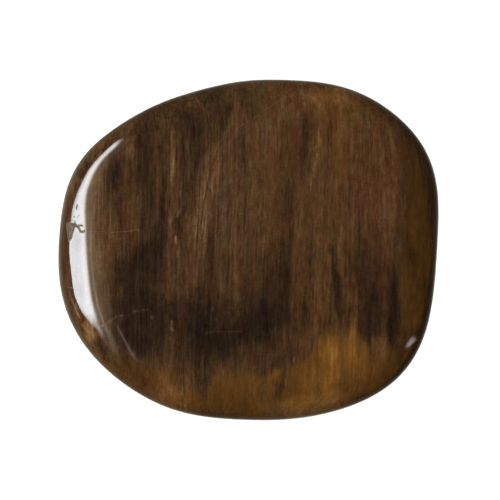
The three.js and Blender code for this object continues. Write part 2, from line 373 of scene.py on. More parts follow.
# Streaks: (hue, level, strength, half width px, places)
STREAKS = [
    # --- left: rim and field beside it
    ("olive", 70, 0.8, 7.0, [(122, 118), (106, 132), (90, 150), (76, 170), (66, 192), (60, 214)]),
    ("honey", 80, 0.6, 3.0, [(110, 134), (98, 144), (90, 154)]),
    ("russet", 66, 0.6, 3.0, [(80, 168), (72, 188), (66, 212)]),
    ("olive", 60, 0.6, 2.5, [(60, 216), (58, 250), (60, 280), (66, 308), (76, 328), (92, 350)]),
    ("russet", 64, 0.7, 3.4, [(66, 226), (65, 250), (66, 280), (71, 300)]),
    # painted dark reflection: the next two strokes run just outside the long highlight, where the softbox's dark frame
    # is mirrored
    ("brown", 50, 0.75, 1.8, [(122, 135), (108, 144.6), (98, 153), (91, 161), (85.6, 169), (81, 177), (78, 184), (74.4, 192), (71.6, 202), (70, 212)]),
    ("brown", 52, 0.6, 1.5, [(67.4, 244), (67.8, 262), (69.8, 280), (72.6, 296), (76.6, 306)]),
    ("russet", 76, 0.8, 4.2, [(77, 317), (82, 321), (88, 325)]),
    ("honey", 138, 0.75, 3.8, [(85, 325.6), (87.6, 331), (89.4, 337)]),
    ("russet", 144, 0.75, 3.8, [(88, 321), (91, 327), (94, 333)]),
    # olive patch below the highlight's tail: the wood's colour with the haze reflection painted in
    ("olive", 76, 0.5, 5.0, [(106, 354), (112, 358), (119, 361)]),
    ("honey", 124, 0.7, 2.4, [(83, 336), (86, 341.6), (89, 347)]),
    ("olive", 112, 0.7, 2.4, [(84, 325.6), (88, 331)]),
    ("russet", 80, 0.8, 2.6, [(93, 327), (96, 338), (101, 349)]),
    ("brown", 50, 0.8, 5.0, [(98, 342), (103, 351), (107, 358)]),
    ("russet", 50, 0.75, 3.8, [(100, 340), (104, 349), (108, 357)]),
    ("brown", 46, 0.8, 5.0, [(114, 338), (119, 347), (123, 356)]),
    # olive patch below the highlight's tail: the wood's colour with the haze reflection painted in
    ("olive", 72, 0.7, 4.0, [(106, 350), (116, 356), (126, 360)]),
    ("honey", 116, 0.6, 1.0, [(107, 361.6), (110, 364.6), (113.6, 367.4)]),
    ("brown", 92, 0.5, 6.0, [(106, 196), (106, 210), (107, 228)]),
    ("russet", 104, 0.65, 4.0, [(98, 236), (99, 258), (100, 280)]),
    ("brown", 72, 0.6, 5.0, [(110, 234), (110, 250), (108, 276)]),
    # painted dark reflection of the softbox's frame beside the upper part of the long highlight
    ("brown", 46, 0.85, 3.6, [(89, 159), (84.4, 167), (81, 173.6), (79, 180)]),
    ("brown", 98, 0.65, 3.2, [(77.2, 180), (74.6, 186), (73, 192)]),
    ("brown", 36, 0.9, 7.6, [(119, 150), (114, 164), (111, 178), (111, 194)]),
    ("brown", 60, 0.6, 6.0, [(108, 192), (107, 206), (108, 214)]),
    ("russet", 84, 0.5, 3.4, [(125, 200), (125, 215), (126, 228)]),
    ("russet", 84, 0.75, 3.8, [(131, 124), (131, 142), (129, 160)]),
    ("russet", 64, 0.75, 3.6, [(128, 160), (127, 176), (128, 196), (128, 222)]),
    ("russet", 86, 0.6, 2.4, [(131, 196), (130, 212), (131, 224)]),
    ("russet", 66, 0.7, 4.6, [(118, 196), (118, 210), (119, 226)]),
    ("russet", 46, 0.6, 2.8, [(137, 132), (137, 148)]),
    ("brown", 54, 0.8, 9.0, [(154, 106), (158, 126), (160, 150)]),
    ("brown", 40, 0.85, 3.6, [(139.5, 112), (139, 140), (138.6, 168), (138.4, 200)]),
    ("brown", 38, 0.8, 4.4, [(147, 98), (147, 130), (146.4, 160), (147, 196), (148, 226)]),
    ("brown", 48, 0.6, 3.0, [(153, 156), (153, 196), (152, 226)]),
    ("brown", 76, 0.5, 1.3, [(150.4, 136), (150, 156), (150.4, 174)]),
    ("olive", 66, 0.55, 1.8, [(156, 116), (156, 138), (155.4, 160)]),
    ("olive", 58, 0.6, 8.0, [(156, 92), (164, 98), (166, 118)]),
    ("brown", 64, 0.5, 2.8, [(162, 124), (162, 152), (163, 176)]),
    ("russet", 70, 0.55, 2.8, [(163, 176), (162.6, 190), (163, 204)]),
    ("brown", 88, 0.7, 2.4, [(171.4, 118), (171.6, 140), (171.8, 162), (170.6, 188)]),
    ("olive", 110, 0.55, 1.4, [(172.6, 152), (172.4, 162), (172.6, 172)]),
    ("russet", 60, 0.5, 2.6, [(178, 128), (178.6, 150), (178, 166)]),
    ("brown", 88, 0.6, 2.4, [(171, 204), (170, 216), (170.4, 228)]),
    ("russet", 42, 0.75, 4.4, [(177, 216), (178, 226), (177, 236)]),
    ("russet", 45, 0.7, 4.6, [(163, 208), (164, 224), (163.4, 240)]),
    ("brown", 38, 0.7, 5.4, [(142, 238), (141, 258), (143, 274)]),
    ("brown", 34, 0.75, 1.8, [(136.6, 240), (135.4, 262), (133.6, 280), (132, 294)]),
    ("brown", 42, 0.7, 6.5, [(153, 246), (157, 256), (153, 270)]),
    ("brown", 46, 0.7, 7.0, [(117, 264), (124, 270), (130, 274)]),
    ("russet", 82, 0.7, 2.4, [(121.4, 282), (120, 290), (118, 299)]),
    ("russet", 80, 0.6, 4.0, [(169.4, 256), (168.6, 276), (167.4, 302)]),
    ("brown", 66, 0.6, 3.6, [(177, 250), (177, 276), (176, 298)]),
    ("russet", 64, 0.7, 2.6, [(172, 246), (172, 266), (171.4, 290)]),
    ("brown", 84, 0.7, 2.4, [(166, 244), (166.4, 256), (166.6, 268)]),
    ("brown", 86, 0.7, 2.6, [(165.4, 284), (165, 296), (165, 304)]),
    ("brown", 92, 0.55, 1.8, [(178, 246), (178, 262), (177.6, 276)]),
    ("brown", 46, 0.7, 6.0, [(148, 226), (154, 232), (160, 232)]),
    ("brown", 40, 0.75, 6.0, [(122, 306), (130, 310)]),
    ("brown", 40, 0.6, 7.0, [(152, 314), (154, 330), (154, 346)]),
    ("brown", 40, 0.5, 6.0, [(168, 306), (174, 320)]),
    ("brown", 72, 0.7, 2.6, [(120, 284), (119, 294), (117.6, 306)]),
    # --- top left of the middle
    ("russet", 72, 0.65, 5.0, [(178, 105), (192, 104), (208, 106)]),
    ("brown", 43, 0.7, 8.0, [(186, 116), (188, 126), (196, 132)]),
    ("brown", 50, 0.75, 6.5, [(190, 93), (206, 88), (226, 86)]),
    ("brown", 50, 0.65, 6.4, [(206, 102), (222, 101), (240, 98)]),
    ("olive", 36, 0.85, 5.4, [(207, 100), (213, 96), (218, 92)]),
    ("brown", 46, 0.6, 5.0, [(200, 106), (203, 118), (202, 128)]),
    ("brown", 42, 0.8, 4.6, [(230, 98), (227, 112), (222, 130)]),
    ("brown", 86, 0.55, 4.4, [(235, 116), (234, 128), (232, 146)]),
    ("russet", 84, 0.6, 3.4, [(238, 106), (237, 116)]),
    ("olive", 52, 0.75, 8.0, [(240, 92), (248, 98), (254, 110)]),
    ("olive", 58, 0.6, 5.0, [(262, 89), (262, 100)]),
    ("brown", 60, 0.5, 4.0, [(252, 90), (254, 98)]),
    ("brown", 56, 0.65, 3.2, [(243.4, 136), (242, 152), (241, 170)]),
    ("brown", 86, 0.5, 3.6, [(250, 128), (248, 150), (247, 176)]),
    ("brown", 92, 0.5, 2.8, [(258, 118), (257, 140), (256, 160)]),
    ("olive", 90, 0.5, 6.0, [(266, 112), (264, 134), (262, 160)]),
    ("russet", 84, 0.6, 5.0, [(276, 116), (275, 140), (273, 160)]),
    ("russet", 92, 0.5, 3.4, [(297, 98), (296, 112), (295, 126)]),
    ("russet", 100, 0.5, 3.4, [(290, 90), (290.6, 100), (291, 110)]),
    ("olive", 92, 0.5, 6.0, [(284, 100), (286, 118)]),
    ("russet", 80, 0.6, 6.0, [(284, 90), (300, 89), (318, 92)]),
    # --- middle
    ("brown", 94, 0.6, 4.6, [(218, 148), (215, 168), (212, 186), (210, 204)]),
    ("honey", 100, 0.5, 3.0, [(217, 158), (214, 180)]),
    ("brown", 112, 0.8, 4.6, [(203.4, 172), (201.6, 190), (201, 214), (201, 240), (200.6, 264)]),
    ("brown", 100, 0.65, 3.6, [(196.6, 205), (197, 222), (197, 240), (196, 264)]),
    ("brown", 112, 0.7, 3.2, [(197.4, 208), (197, 222), (197, 236)]),
    ("russet", 86, 0.5, 3.4, [(198, 262), (196, 278), (193, 298)]),
    ("brown", 98, 0.6, 2.2, [(196, 262), (194.6, 276), (192.6, 290)]),
    ("brown", 60, 0.7, 5.6, [(190, 150), (190, 176), (189, 204), (187, 226)]),
    ("brown", 94, 0.55, 4.0, [(213.6, 180), (211.8, 204), (210.6, 228)]),
    ("russet", 80, 0.6, 6.0, [(186, 230), (187, 256), (184, 292)]),
    ("brown", 52, 0.5, 1.1, [(190, 262), (189.4, 284), (189, 302)]),
    ("brown", 56, 0.65, 4.0, [(212, 226), (210.4, 244), (208.6, 264), (208, 284)]),
    ("brown", 52, 0.7, 5.0, [(209, 240), (208, 262), (206, 284), (205, 300)]),
    ("russet", 54, 0.6, 5.0, [(213, 272), (214, 288), (213, 302)]),
    ("brown", 44, 0.7, 8.0, [(199, 288), (203, 300), (206, 310)]),
    ("brown", 58, 0.6, 2.6, [(196.4, 284), (195, 298)]),
    ("brown", 74, 0.6, 2.0, [(192.6, 286), (191.4, 300), (190.6, 306)]),
    ("grey", 82, 0.25, 6.0, [(226, 168), (223, 192), (221, 216)]),
    ("olive", 70, 0.5, 5.0, [(220, 232), (220, 250), (217, 270)]),
    ("brown", 88, 0.45, 2.6, [(229.4, 208), (228, 232), (226, 256)]),
    ("brown", 82, 0.5, 2.6, [(226.4, 252), (226, 276)]),
    ("brown", 66, 0.5, 2.2, [(231.6, 256), (231.6, 284)]),
    ("russet", 80, 0.55, 2.6, [(238.6, 240), (238.4, 262), (237.6, 284), (236.4, 303)]),
    ("brown", 96, 0.7, 2.4, [(237.4, 268), (236.4, 286), (235.4, 304)]),
    ("brown", 92, 0.5, 1.3, [(253.8, 206), (253, 232), (252.6, 262), (252.2, 290)]),
    ("russet", 88, 0.5, 3.2, [(253, 166), (254, 182)]),
    ("russet", 82, 0.5, 3.6, [(263, 212), (261, 232), (259, 256)]),
    ("russet", 60, 0.5, 2.6, [(256, 252), (255, 272)]),
    ("brown", 60, 0.45, 3.0, [(248, 256), (247, 280), (245, 300)]),
    ("olive", 58, 0.6, 5.0, [(262, 262), (260, 286)]),
    ("brown", 50, 0.5, 5.0, [(246, 280), (247, 298)]),
    ("brown", 56, 0.5, 7.0, [(226, 290), (240, 292), (262, 290)]),
    ("brown", 58, 0.75, 4.0, [(289.6, 150), (288, 176), (286, 200), (284, 224)]),
    ("russet", 96, 0.75, 3.4, [(296.6, 164), (295.6, 184), (294.6, 204), (293, 232)]),
    ("russet", 66, 0.5, 10.0, [(302, 104), (302, 132), (300, 160), (297, 184)]),
    ("russet", 50, 0.8, 4.4, [(304, 104), (303.6, 132), (302.4, 160), (300, 186)]),
    ("russet", 56, 0.7, 5.6, [(289.4, 172), (288.8, 196), (288.4, 228)]),
    ("russet", 66, 0.5, 3.6, [(294, 130), (293, 150)]),
    ("brown", 48, 0.8, 7.4, [(288, 222), (284, 244), (281, 266), (278, 292)]),
    ("brown", 34, 0.8, 5.6, [(287, 258), (285, 278), (281, 300)]),
    ("honey", 50, 0.7, 2.2, [(291, 216), (290, 236), (289, 256)]),
    ("brown", 56, 0.6, 5.0, [(276, 236), (273, 262), (269, 296)]),
    ("brown", 42, 0.7, 7.0, [(276, 262), (272, 280), (268, 298)]),
    ("olive", 112, 0.7, 2.1, [(320, 120), (318.4, 140), (316.4, 156), (311.6, 181), (306, 198)]),
    ("brown", 98, 0.65, 3.4, [(306, 182), (302, 206), (299.6, 228), (297.6, 246)]),
    ("russet", 84, 0.6, 5.0, [(300, 246), (298.6, 268), (297, 292)]),
    ("russet", 64, 0.6, 3.4, [(299, 250), (298.6, 268), (297.6, 284)]),
    ("russet", 66, 0.6, 3.4, [(305, 244), (304.6, 260), (304, 276)]),
    ("brown", 66, 0.75, 4.0, [(310.6, 214), (311, 250), (311, 288)]),
    ("brown", 74, 0.6, 5.0, [(300, 292), (293, 312)]),
    ("olive", 58, 0.55, 9.0, [(226, 300), (226, 316), (222, 326)]),
    ("brown", 27, 0.8, 7.0, [(202, 320), (202, 334), (197, 348)]),
    ("brown", 31, 0.7, 8.0, [(262, 304), (264, 320), (262, 334)]),
    ("brown", 35, 0.65, 7.0, [(240, 326), (244, 340)]),
    ("brown", 32, 0.75, 8.0, [(204, 336), (214, 340), (222, 342)]),
    ("brown", 54, 0.5, 3.0, [(189, 300), (190, 312), (189, 322)]),
    ("brown", 44, 0.5, 4.0, [(180, 322), (180.6, 338)]),
    ("brown", 46, 0.5, 5.0, [(244, 298), (246, 308)]),
    ("brown", 46, 0.5, 6.0, [(148, 336), (152, 348)]),
    ("brown", 46, 0.5, 4.0, [(160, 330), (161, 346)]),
    ("brown", 46, 0.7, 6.0, [(190, 352), (197, 366), (203, 384)]),
    ("brown", 36, 0.9, 8.0, [(198, 346), (210, 350), (226, 351)]),
    ("brown", 37, 0.55, 7.0, [(200, 337), (220, 339), (246, 340)]),
    ("brown", 40, 0.7, 5.0, [(204, 350), (206, 361)]),
    ("brown", 38, 0.6, 9.0, [(148, 300), (150, 318), (148, 338)]),
    ("brown", 72, 0.55, 5.0, [(118, 320), (119, 335)]),
    ("brown", 74, 0.6, 5.0, [(274, 332), (275, 350)]),
    ("brown", 84, 0.5, 3.2, [(106, 250), (106, 264)]),
    ("brown", 48, 0.6, 4.0, [(176, 352), (180, 366), (183, 376)]),
    ("russet", 58, 0.6, 11.0, [(254, 350), (274, 354), (288, 346)]),
    ("russet", 72, 0.6, 5.0, [(292, 336), (296, 322), (298, 312)]),
    ("russet", 46, 0.75, 4.4, [(303, 298), (303.6, 314), (302, 332)]),
    ("brown", 80, 0.5, 4.0, [(285, 326), (285, 342)]),
    ("russet", 62, 0.6, 7.0, [(258, 362), (266, 366), (274, 364)]),
    ("brown", 64, 0.5, 7.0, [(168, 346), (172, 356)]),
    ("brown", 82, 0.65, 4.4, [(173, 338), (174, 354), (173, 368)]),
    ("brown", 58, 0.5, 9.0, [(150, 356), (164, 361)]),
    ("brown", 38, 0.75, 8.0, [(126, 324), (132, 340), (140, 350)]),
    # --- right field
    ("brown", 114, 0.75, 10.0, [(310, 98), (322, 100), (332, 99), (346, 97)]),
    ("honey", 122, 0.6, 7.0, [(324, 92), (334, 94), (344, 96)]),
    ("honey", 120, 0.5, 4.0, [(312, 96), (314, 104), (316, 112)]),
    ("honey", 112, 0.5, 5.0, [(328, 96), (331, 108)]),
    ("honey", 120, 0.5, 4.4, [(338, 94), (338, 104), (337.6, 114)]),
    ("honey", 100, 0.6, 7.0, [(344, 90), (354, 97), (362, 104)]),
    ("russet", 62, 0.75, 3.0, [(330, 114), (329.4, 132), (328.8, 150)]),
    ("russet", 64, 0.5, 2.6, [(328.4, 146), (326, 164), (324, 186)]),
    ("brown", 90, 0.5, 5.0, [(341, 116), (340, 132), (339.6, 150)]),
    ("russet", 104, 0.7, 2.4, [(351, 120), (350.4, 134), (349.6, 150)]),
    ("brown", 94, 0.6, 4.0, [(364, 116), (366, 126), (366, 138)]),
    ("brown", 96, 0.6, 4.4, [(334, 154), (334.6, 176), (336, 202), (338, 214)]),
    ("olive", 92, 0.55, 8.0, [(360, 112), (364, 122), (364, 136)]),
    ("russet", 88, 0.6, 5.0, [(378, 118), (383, 126), (387, 138)]),
    ("honey", 92, 0.45, 7.0, [(346, 148), (343, 170), (340, 192)]),
    ("russet", 76, 0.5, 6.0, [(372, 160), (371, 186), (368, 206)]),
    ("brown", 66, 0.4, 4.0, [(349, 186), (350, 204)]),
    ("russet", 66, 0.6, 6.0, [(360, 200), (361, 214), (364, 226)]),
    ("brown", 62, 0.55, 4.0, [(396, 134), (399, 154)]),
    ("olive", 56, 0.6, 3.2, [(404, 158), (403.4, 184), (402.6, 208)]),
    ("brown", 86, 0.4, 6.0, [(310, 206), (318, 224), (322, 250)]),
    ("olive", 70, 0.5, 2.6, [(305.6, 226), (305.4, 244)]),
    ("russet", 70, 0.6, 5.0, [(310, 250), (310.6, 270), (311, 288)]),
    ("russet", 88, 0.45, 4.0, [(341, 226), (340, 246)]),
    ("olive", 56, 0.7, 7.0, [(358, 226), (359, 240), (357, 254)]),
    ("russet", 86, 0.5, 3.0, [(345, 206), (344, 226)]),
    ("brown", 46, 0.75, 2.0, [(328.4, 240), (331.4, 254), (332.4, 268), (333.6, 286)]),
    ("brown", 42, 0.7, 3.0, [(388.4, 318), (391, 338), (393.6, 356)]),
    ("brown", 48, 0.6, 3.2, [(365.4, 324), (367.6, 338), (369, 350)]),
    ("honey", 106, 0.55, 2.4, [(354.8, 314), (355, 330), (354, 346)]),
    ("honey", 100, 0.5, 3.0, [(381.6, 324), (383, 342)]),
    ("brown", 90, 0.6, 4.4, [(321, 244), (323, 268), (325, 296), (326, 322)]),
    ("brown", 50, 0.7, 5.0, [(346, 300), (346, 328)]),
    ("honey", 108, 0.6, 6.0, [(312, 356), (314, 370)]),
    ("russet", 62, 0.5, 7.0, [(134, 362), (142, 370)]),
    ("honey", 84, 0.5, 6.0, [(164, 372), (168, 381)]),
    ("honey", 100, 0.45, 4.0, [(334, 188), (334, 226)]),
    ("russet", 70, 0.5, 9.0, [(364, 178), (366, 200), (366, 224)]),
    ("brown", 72, 0.5, 5.0, [(347, 162), (347, 184)]),
    ("russet", 60, 0.5, 4.0, [(131, 164), (131, 186)]),
    ("brown", 60, 0.5, 5.0, [(142, 176), (142, 238)]),
    ("brown", 60, 0.55, 5.0, [(166, 116), (166, 134)]),
    ("brown", 86, 0.5, 4.0, [(190, 94), (190, 116)]),
    ("russet", 86, 0.6, 2.2, [(346.6, 258), (347.4, 282), (347, 306)]),
    ("russet", 56, 0.5, 1.8, [(350.4, 268), (350.6, 292)]),
    ("brown", 88, 0.6, 2.1, [(354.6, 270), (355.6, 296), (355, 326)]),
    ("russet", 50, 0.6, 6.0, [(362, 258), (366, 276), (368, 292)]),
    ("russet", 76, 0.6, 3.4, [(381, 276), (382.6, 296), (383, 318)]),
    ("brown", 36, 0.75, 4.6, [(367, 300), (368.6, 318), (369.6, 340)]),
    ("brown", 50, 0.6, 3.6, [(374, 324), (375, 338)]),
    ("olive", 78, 0.6, 3.0, [(384, 320), (383.4, 332)]),
    ("brown", 70, 0.5, 2.4, [(374, 306), (374.6, 328)]),
    ("grey", 70, 0.55, 4.0, [(396, 234), (396.6, 250)]),
    ("brown", 50, 0.75, 3.4, [(397.4, 248), (396.6, 272), (395, 298)]),
    ("brown", 36, 0.85, 6.0, [(392, 278), (393, 304), (392.4, 330), (393.4, 350)]),
    ("olive", 70, 0.5, 3.6, [(403, 300), (403.6, 332)]),
    ("brown", 58, 0.6, 2.2, [(413, 250), (414, 268), (413.4, 290)]),
    ("russet", 58, 0.5, 4.0, [(376, 230), (378, 256)]),
    ("honey", 56, 0.7, 7.0, [(402, 232), (408, 246), (413, 262)]),
    ("russet", 70, 0.5, 4.0, [(389, 232), (390, 248), (390, 262)]),
    ("brown", 52, 0.6, 2.0, [(399.6, 296), (400, 312), (399.6, 326)]),
    # --- honey part
    ("honey", 112, 0.8, 11.0, [(163, 381), (171, 392), (180, 398)]),
    ("honey", 98, 0.55, 4.0, [(187, 380), (188, 388), (190, 398)]),
    ("honey", 62, 0.6, 1.0, [(182.8, 366), (182.6, 386), (182.4, 408)]),
    ("honey", 61, 0.8, 11.0, [(122, 362), (134, 375), (144, 383)]),
    ("honey", 88, 0.5, 8.0, [(148, 370), (155, 380)]),
    ("honey", 112, 0.55, 2.0, [(150, 396), (158, 399.6), (166, 402)]),
    ("russet", 66, 0.65, 4.4, [(200, 386), (204, 394)]),
    ("olive", 66, 0.5, 3.0, [(214, 350), (215, 362)]),
    ("olive", 98, 0.6, 1.8, [(223, 364), (223.4, 374), (223, 386)]),
    ("olive", 64, 0.5, 1.4, [(235, 346), (235, 358)]),
    ("honey", 84, 0.5, 8.0, [(217, 384), (215, 396)]),
    ("honey", 96, 0.6, 10.0, [(234, 382), (242, 386), (250, 384)]),
    ("honey", 94, 0.5, 8.0, [(238, 388), (238, 402)]),
    ("honey", 108, 0.5, 1.8, [(248, 370), (248.4, 380), (248, 392)]),
    ("honey", 108, 0.65, 4.4, [(270, 376), (273, 374), (276, 373)]),
    ("brown", 54, 0.7, 2.3, [(286, 364), (283, 374), (280.6, 388), (277, 402)]),
    ("russet", 62, 0.55, 5.0, [(276, 386), (272, 398)]),
    ("olive", 108, 0.5, 1.6, [(288.6, 360), (287, 374)]),
    ("olive", 78, 0.5, 5.0, [(262, 386), (264, 398)]),
    ("honey", 74, 0.6, 10.0, [(196, 404), (230, 409), (256, 411)]),
    ("honey", 112, 0.7, 11.0, [(306, 374), (308, 384), (306, 394)]),
    ("honey", 131, 0.8, 13.0, [(329, 350), (333, 368), (330, 388)]),
    ("honey", 104, 0.5, 7.0, [(376, 352), (376, 378)]),
    ("brown", 78, 0.65, 2.2, [(180.8, 354), (181, 386)]),
    ("honey", 142, 0.6, 3.8, [(334.2, 330), (334, 346), (333.8, 362), (333.4, 384)]),
    ("honey", 126, 0.7, 8.0, [(354, 348), (355, 370), (352, 388)]),
    ("brown", 62, 0.6, 3.0, [(345, 322), (346.6, 332), (347.4, 342)]),
    ("brown", 66, 0.5, 2.2, [(338.6, 324), (339.6, 336)]),
    ("brown", 70, 0.5, 3.0, [(322, 326), (322.6, 340)]),
    ("honey", 112, 0.6, 7.0, [(352, 394), (363, 388)]),
    ("honey", 112, 0.5, 4.4, [(321, 340), (321, 354)]),
    ("honey", 116, 0.6, 5.4, [(344, 344), (344, 360), (345, 374)]),
    ("russet", 42, 0.4, 7.0, [(201, 346), (203, 360), (202, 378)]),
    ("russet", 48, 0.4, 6.0, [(236, 346), (239, 358)]),
    ("russet", 106, 0.5, 6.0, [(152, 392), (166, 390), (180, 387)]),
    ("russet", 82, 0.5, 5.0, [(250, 358), (250, 372)]),
    ("honey", 122, 0.5, 4.5, [(352, 338), (352, 354)]),
    ("russet", 96, 0.4, 5.0, [(359, 376), (358, 392)]),
    ("brown", 84, 0.55, 5.0, [(190, 93), (190, 107)]),
    ("brown", 92, 0.4, 6.0, [(208, 214), (208, 234)]),
    ("brown", 57, 0.5, 5.0, [(130, 310), (130, 326)]),
    ("olive", 94, 0.5, 6.0, [(266, 412), (282, 412)]),
    ("honey", 118, 0.5, 6.0, [(290, 402), (306, 402)]),
    ("honey", 126, 0.45, 6.0, [(328, 364), (328, 380)]),
    # olive patch below the highlight's tail: the wood's colour with the haze reflection painted in
    ("olive", 84, 0.6, 4.5, [(107, 356), (117, 361)]),
    ("honey", 98, 0.45, 5.0, [(237, 392), (238, 408)]),
    ("honey", 126, 0.5, 6.0, [(296, 402), (312, 401)]),
    ("russet", 98, 0.45, 5.0, [(262, 154), (262, 180)]),
    ("russet", 78, 0.45, 5.0, [(370, 249), (370, 265)]),
    ("honey", 128, 0.55, 4.0, [(346, 338), (346, 356)]),
    ("honey", 118, 0.4, 5.0, [(358, 360), (358, 372)]),
    ("russet", 108, 0.4, 5.0, [(358, 376), (358, 386)]),
    ("honey", 36, 0.4, 6.0, [(212, 345), (213, 357)]),
    ("brown", 54, 0.45, 5.0, [(214, 360), (214, 370)]),
    ("russet", 122, 0.45, 5.0, [(334, 95), (334, 106)]),
    ("russet", 96, 0.4, 7.0, [(298, 110), (312, 108)]),
    ("brown", 92, 0.4, 5.0, [(262, 108), (262, 116)]),
    ("olive", 92, 0.45, 5.0, [(190, 95), (190, 105)]),
    ("brown", 106, 0.45, 5.0, [(214, 177), (214, 191)]),
    ("brown", 92, 0.4, 5.0, [(226, 142), (226, 154)]),
    ("brown", 112, 0.45, 4.5, [(202, 214), (202, 228)]),
    ("honey", 78, 0.45, 4.0, [(418, 177), (418, 192)]),
    ("brown", 88, 0.4, 5.0, [(178, 179), (178, 193)]),
    ("russet", 112, 0.45, 5.0, [(174, 391), (184, 389)]),
    ("honey", 108, 0.45, 6.0, [(320, 94), (336, 93)]),
    ("russet", 78, 0.45, 5.0, [(166, 366), (166, 378)]),
    ("honey", 134, 0.7, 3.2, [(352, 324), (352, 340), (351.6, 356), (350.4, 372)]),
    ("honey", 116, 0.7, 7.0, [(361, 348), (363, 362), (362, 378)]),
    ("olive", 82, 0.7, 5.0, [(372, 336), (373, 352), (373, 370)]),
    ("olive", 104, 0.75, 4.6, [(382, 330), (382.6, 344), (383, 362)]),
    ("honey", 86, 0.6, 5.4, [(390, 356), (391, 368)]),
    ("brown", 60, 0.6, 5.0, [(399, 346), (398, 360)]),
    ("olive", 112, 0.55, 1.3, [(337.4, 380), (337, 392), (337, 404)]),
    ("honey", 100, 0.6, 10.0, [(338, 388), (350, 386), (372, 376)]),
    ("brown", 72, 0.5, 4.0, [(350, 399), (362, 396)]),
]
# Small pale or dark specks and dashes: (hue, level, strength, half width px, places)
SPECKS = [
    ("brown", 42, 0.55, 0.8, [(183.6, 322), (183.2, 350), (183.4, 380), (184, 404)]),
    ("honey", 122, 0.6, 1.0, [(184.4, 405), (187, 413)]),
    ("honey", 104, 0.55, 0.8, [(198, 367), (198, 380)]),
    ("russet", 96, 0.8, 1.6, [(171.4, 321), (171.8, 323.4)]),
    ("russet", 112, 0.85, 1.7, [(171.2, 327.4), (172.4, 329.4)]),
    ("russet", 86, 0.7, 2.6, [(170.6, 338), (172, 342.6)]),
    ("olive", 106, 0.8, 1.5, [(178.6, 209), (177.4, 214), (176.6, 218)]),
    ("brown", 136, 0.85, 1.4, [(175.2, 236.6), (175.6, 242)]),
    ("brown", 116, 0.75, 1.5, [(177, 251), (177.2, 256.4)]),
    ("olive", 104, 0.75, 1.3, [(180, 190), (179.4, 197)]),
    ("brown", 100, 0.6, 1.2, [(171.4, 216), (171, 221)]),
    ("olive", 92, 0.6, 1.2, [(168, 261), (168.2, 265)]),
    ("olive", 92, 0.7, 1.2, [(174, 273), (174.4, 279)]),
    ("grey", 78, 0.7, 1.3, [(151, 316), (151.4, 318)]),
    ("brown", 88, 0.75, 1.4, [(171.4, 327.4), (172.6, 329)]),
    ("russet", 72, 0.6, 1.2, [(172.4, 337), (172.8, 343)]),
    ("olive", 124, 0.75, 1.3, [(160, 397), (162, 399)]),
    ("olive", 134, 0.8, 1.0, [(184.6, 404.4), (185.6, 407.6)]),
    ("olive", 118, 0.7, 1.0, [(285.4, 377), (284.6, 386)]),
    ("olive", 106, 0.65, 0.9, [(283.2, 390), (282.4, 394)]),
    ("olive", 104, 0.65, 1.0, [(294, 356), (293.2, 362)]),
    ("brown", 92, 0.55, 1.4, [(186, 99.4), (199, 99.2)]),
    ("honey", 122, 0.5, 1.0, [(353, 380), (353.4, 386)]),
    ("olive", 92, 0.5, 0.8, [(212.4, 305), (212, 312)]),
    ("olive", 80, 0.5, 0.9, [(206.4, 330), (206, 336)]),
    ("brown", 40, 0.5, 1.1, [(240, 246), (239.6, 250)]),
    ("grey", 94, 0.5, 1.4, [(258.6, 208), (257.4, 216)]),
    ("russet", 104, 0.4, 0.8, [(131, 229.6), (140, 228.8)]),
]
HUES = ("russet", "honey", "olive", "grey")

# How far the grain leans: the top of each fibre lies to the right of its foot by this much
LEAN_X = [50, 110, 170, 205, 240, 270, 300, 322, 340, 362, 450]
LEAN = [0.0, 0.0, 0.01, 0.04, 0.045, 0.05, 0.06, 0.025, -0.02, 0.0, 0.0]


def frame_px(P):
    """Points in mm -> places in the camera's frame, in pixels."""
    f = (EYE[2] - P[:, 2]) / REACH
    mid = (FRAME_PX - 1) / 2
    return np.stack([mid + (P[:, 0] - EYE[0]) / (SCALE * f), mid - (P[:, 1] - EYE[1]) / (SCALE * f)], -1)


def grain_of(P):
    """Points in mm -> the wood's own coordinates: across the fibres, along them, and down into the slice."""
    px = frame_px(P)
    lean = np.interp(px[:, 0], LEAN_X, LEAN)
    run = 80.0 * np.tanh((240.0 - px[:, 1]) / 80.0)
    depth = np.clip(WIDEST_Z - P[:, 2], 0, None)
    across = P[:, 0] - lean * run * SCALE + 0.16 * (THICKNESS - P[:, 2]) + 0.45 * depth
    along = P[:, 1] + 0.10 * depth
    slow = 0.5 * noise3(np.c_[across, along, P[:, 2]] / [11.0, 30.0, 14.0], 11)
    return np.c_[across + slow, along, P[:, 2]]


# Painted rim shade, laid into the colour: darker to the right and below, where the key light falls away, with an olive
# tint. Columns: bearing from the middle in degrees, strength, level, and where it is full and gone, in px inside the
# outline
RIM_PAINTED_SHADE = [
    (0, 0.80, 54, 3, 8), (20, 0.80, 58, 8, 18), (40, 0.75, 56, 5, 18), (52, 0.40, 70, 3, 14), (60, 0.60, 112, 10, 22), (72, 0.0, 90, 3, 12),
    (90, 0.0, 64, 2, 10), (100, 0.4, 58, 4, 25), (120, 0.4, 56, 8, 25), (140, 0.3, 70, 3, 14), (160, 0.0, 80, 2, 9), (200, 0.0, 80, 2, 9),
    (220, 0.3, 70, 3, 12), (240, 0.3, 104, 6, 20), (258, 0.7, 56, 3, 11), (270, 0.4, 74, 2, 10), (280, 0.3, 96, 2, 14), (300, 0.4, 96, 3, 20),
    (311, 0.6, 62, 2, 8), (320, 0.85, 46, 6, 10), (340, 0.85, 46, 6, 12),
]


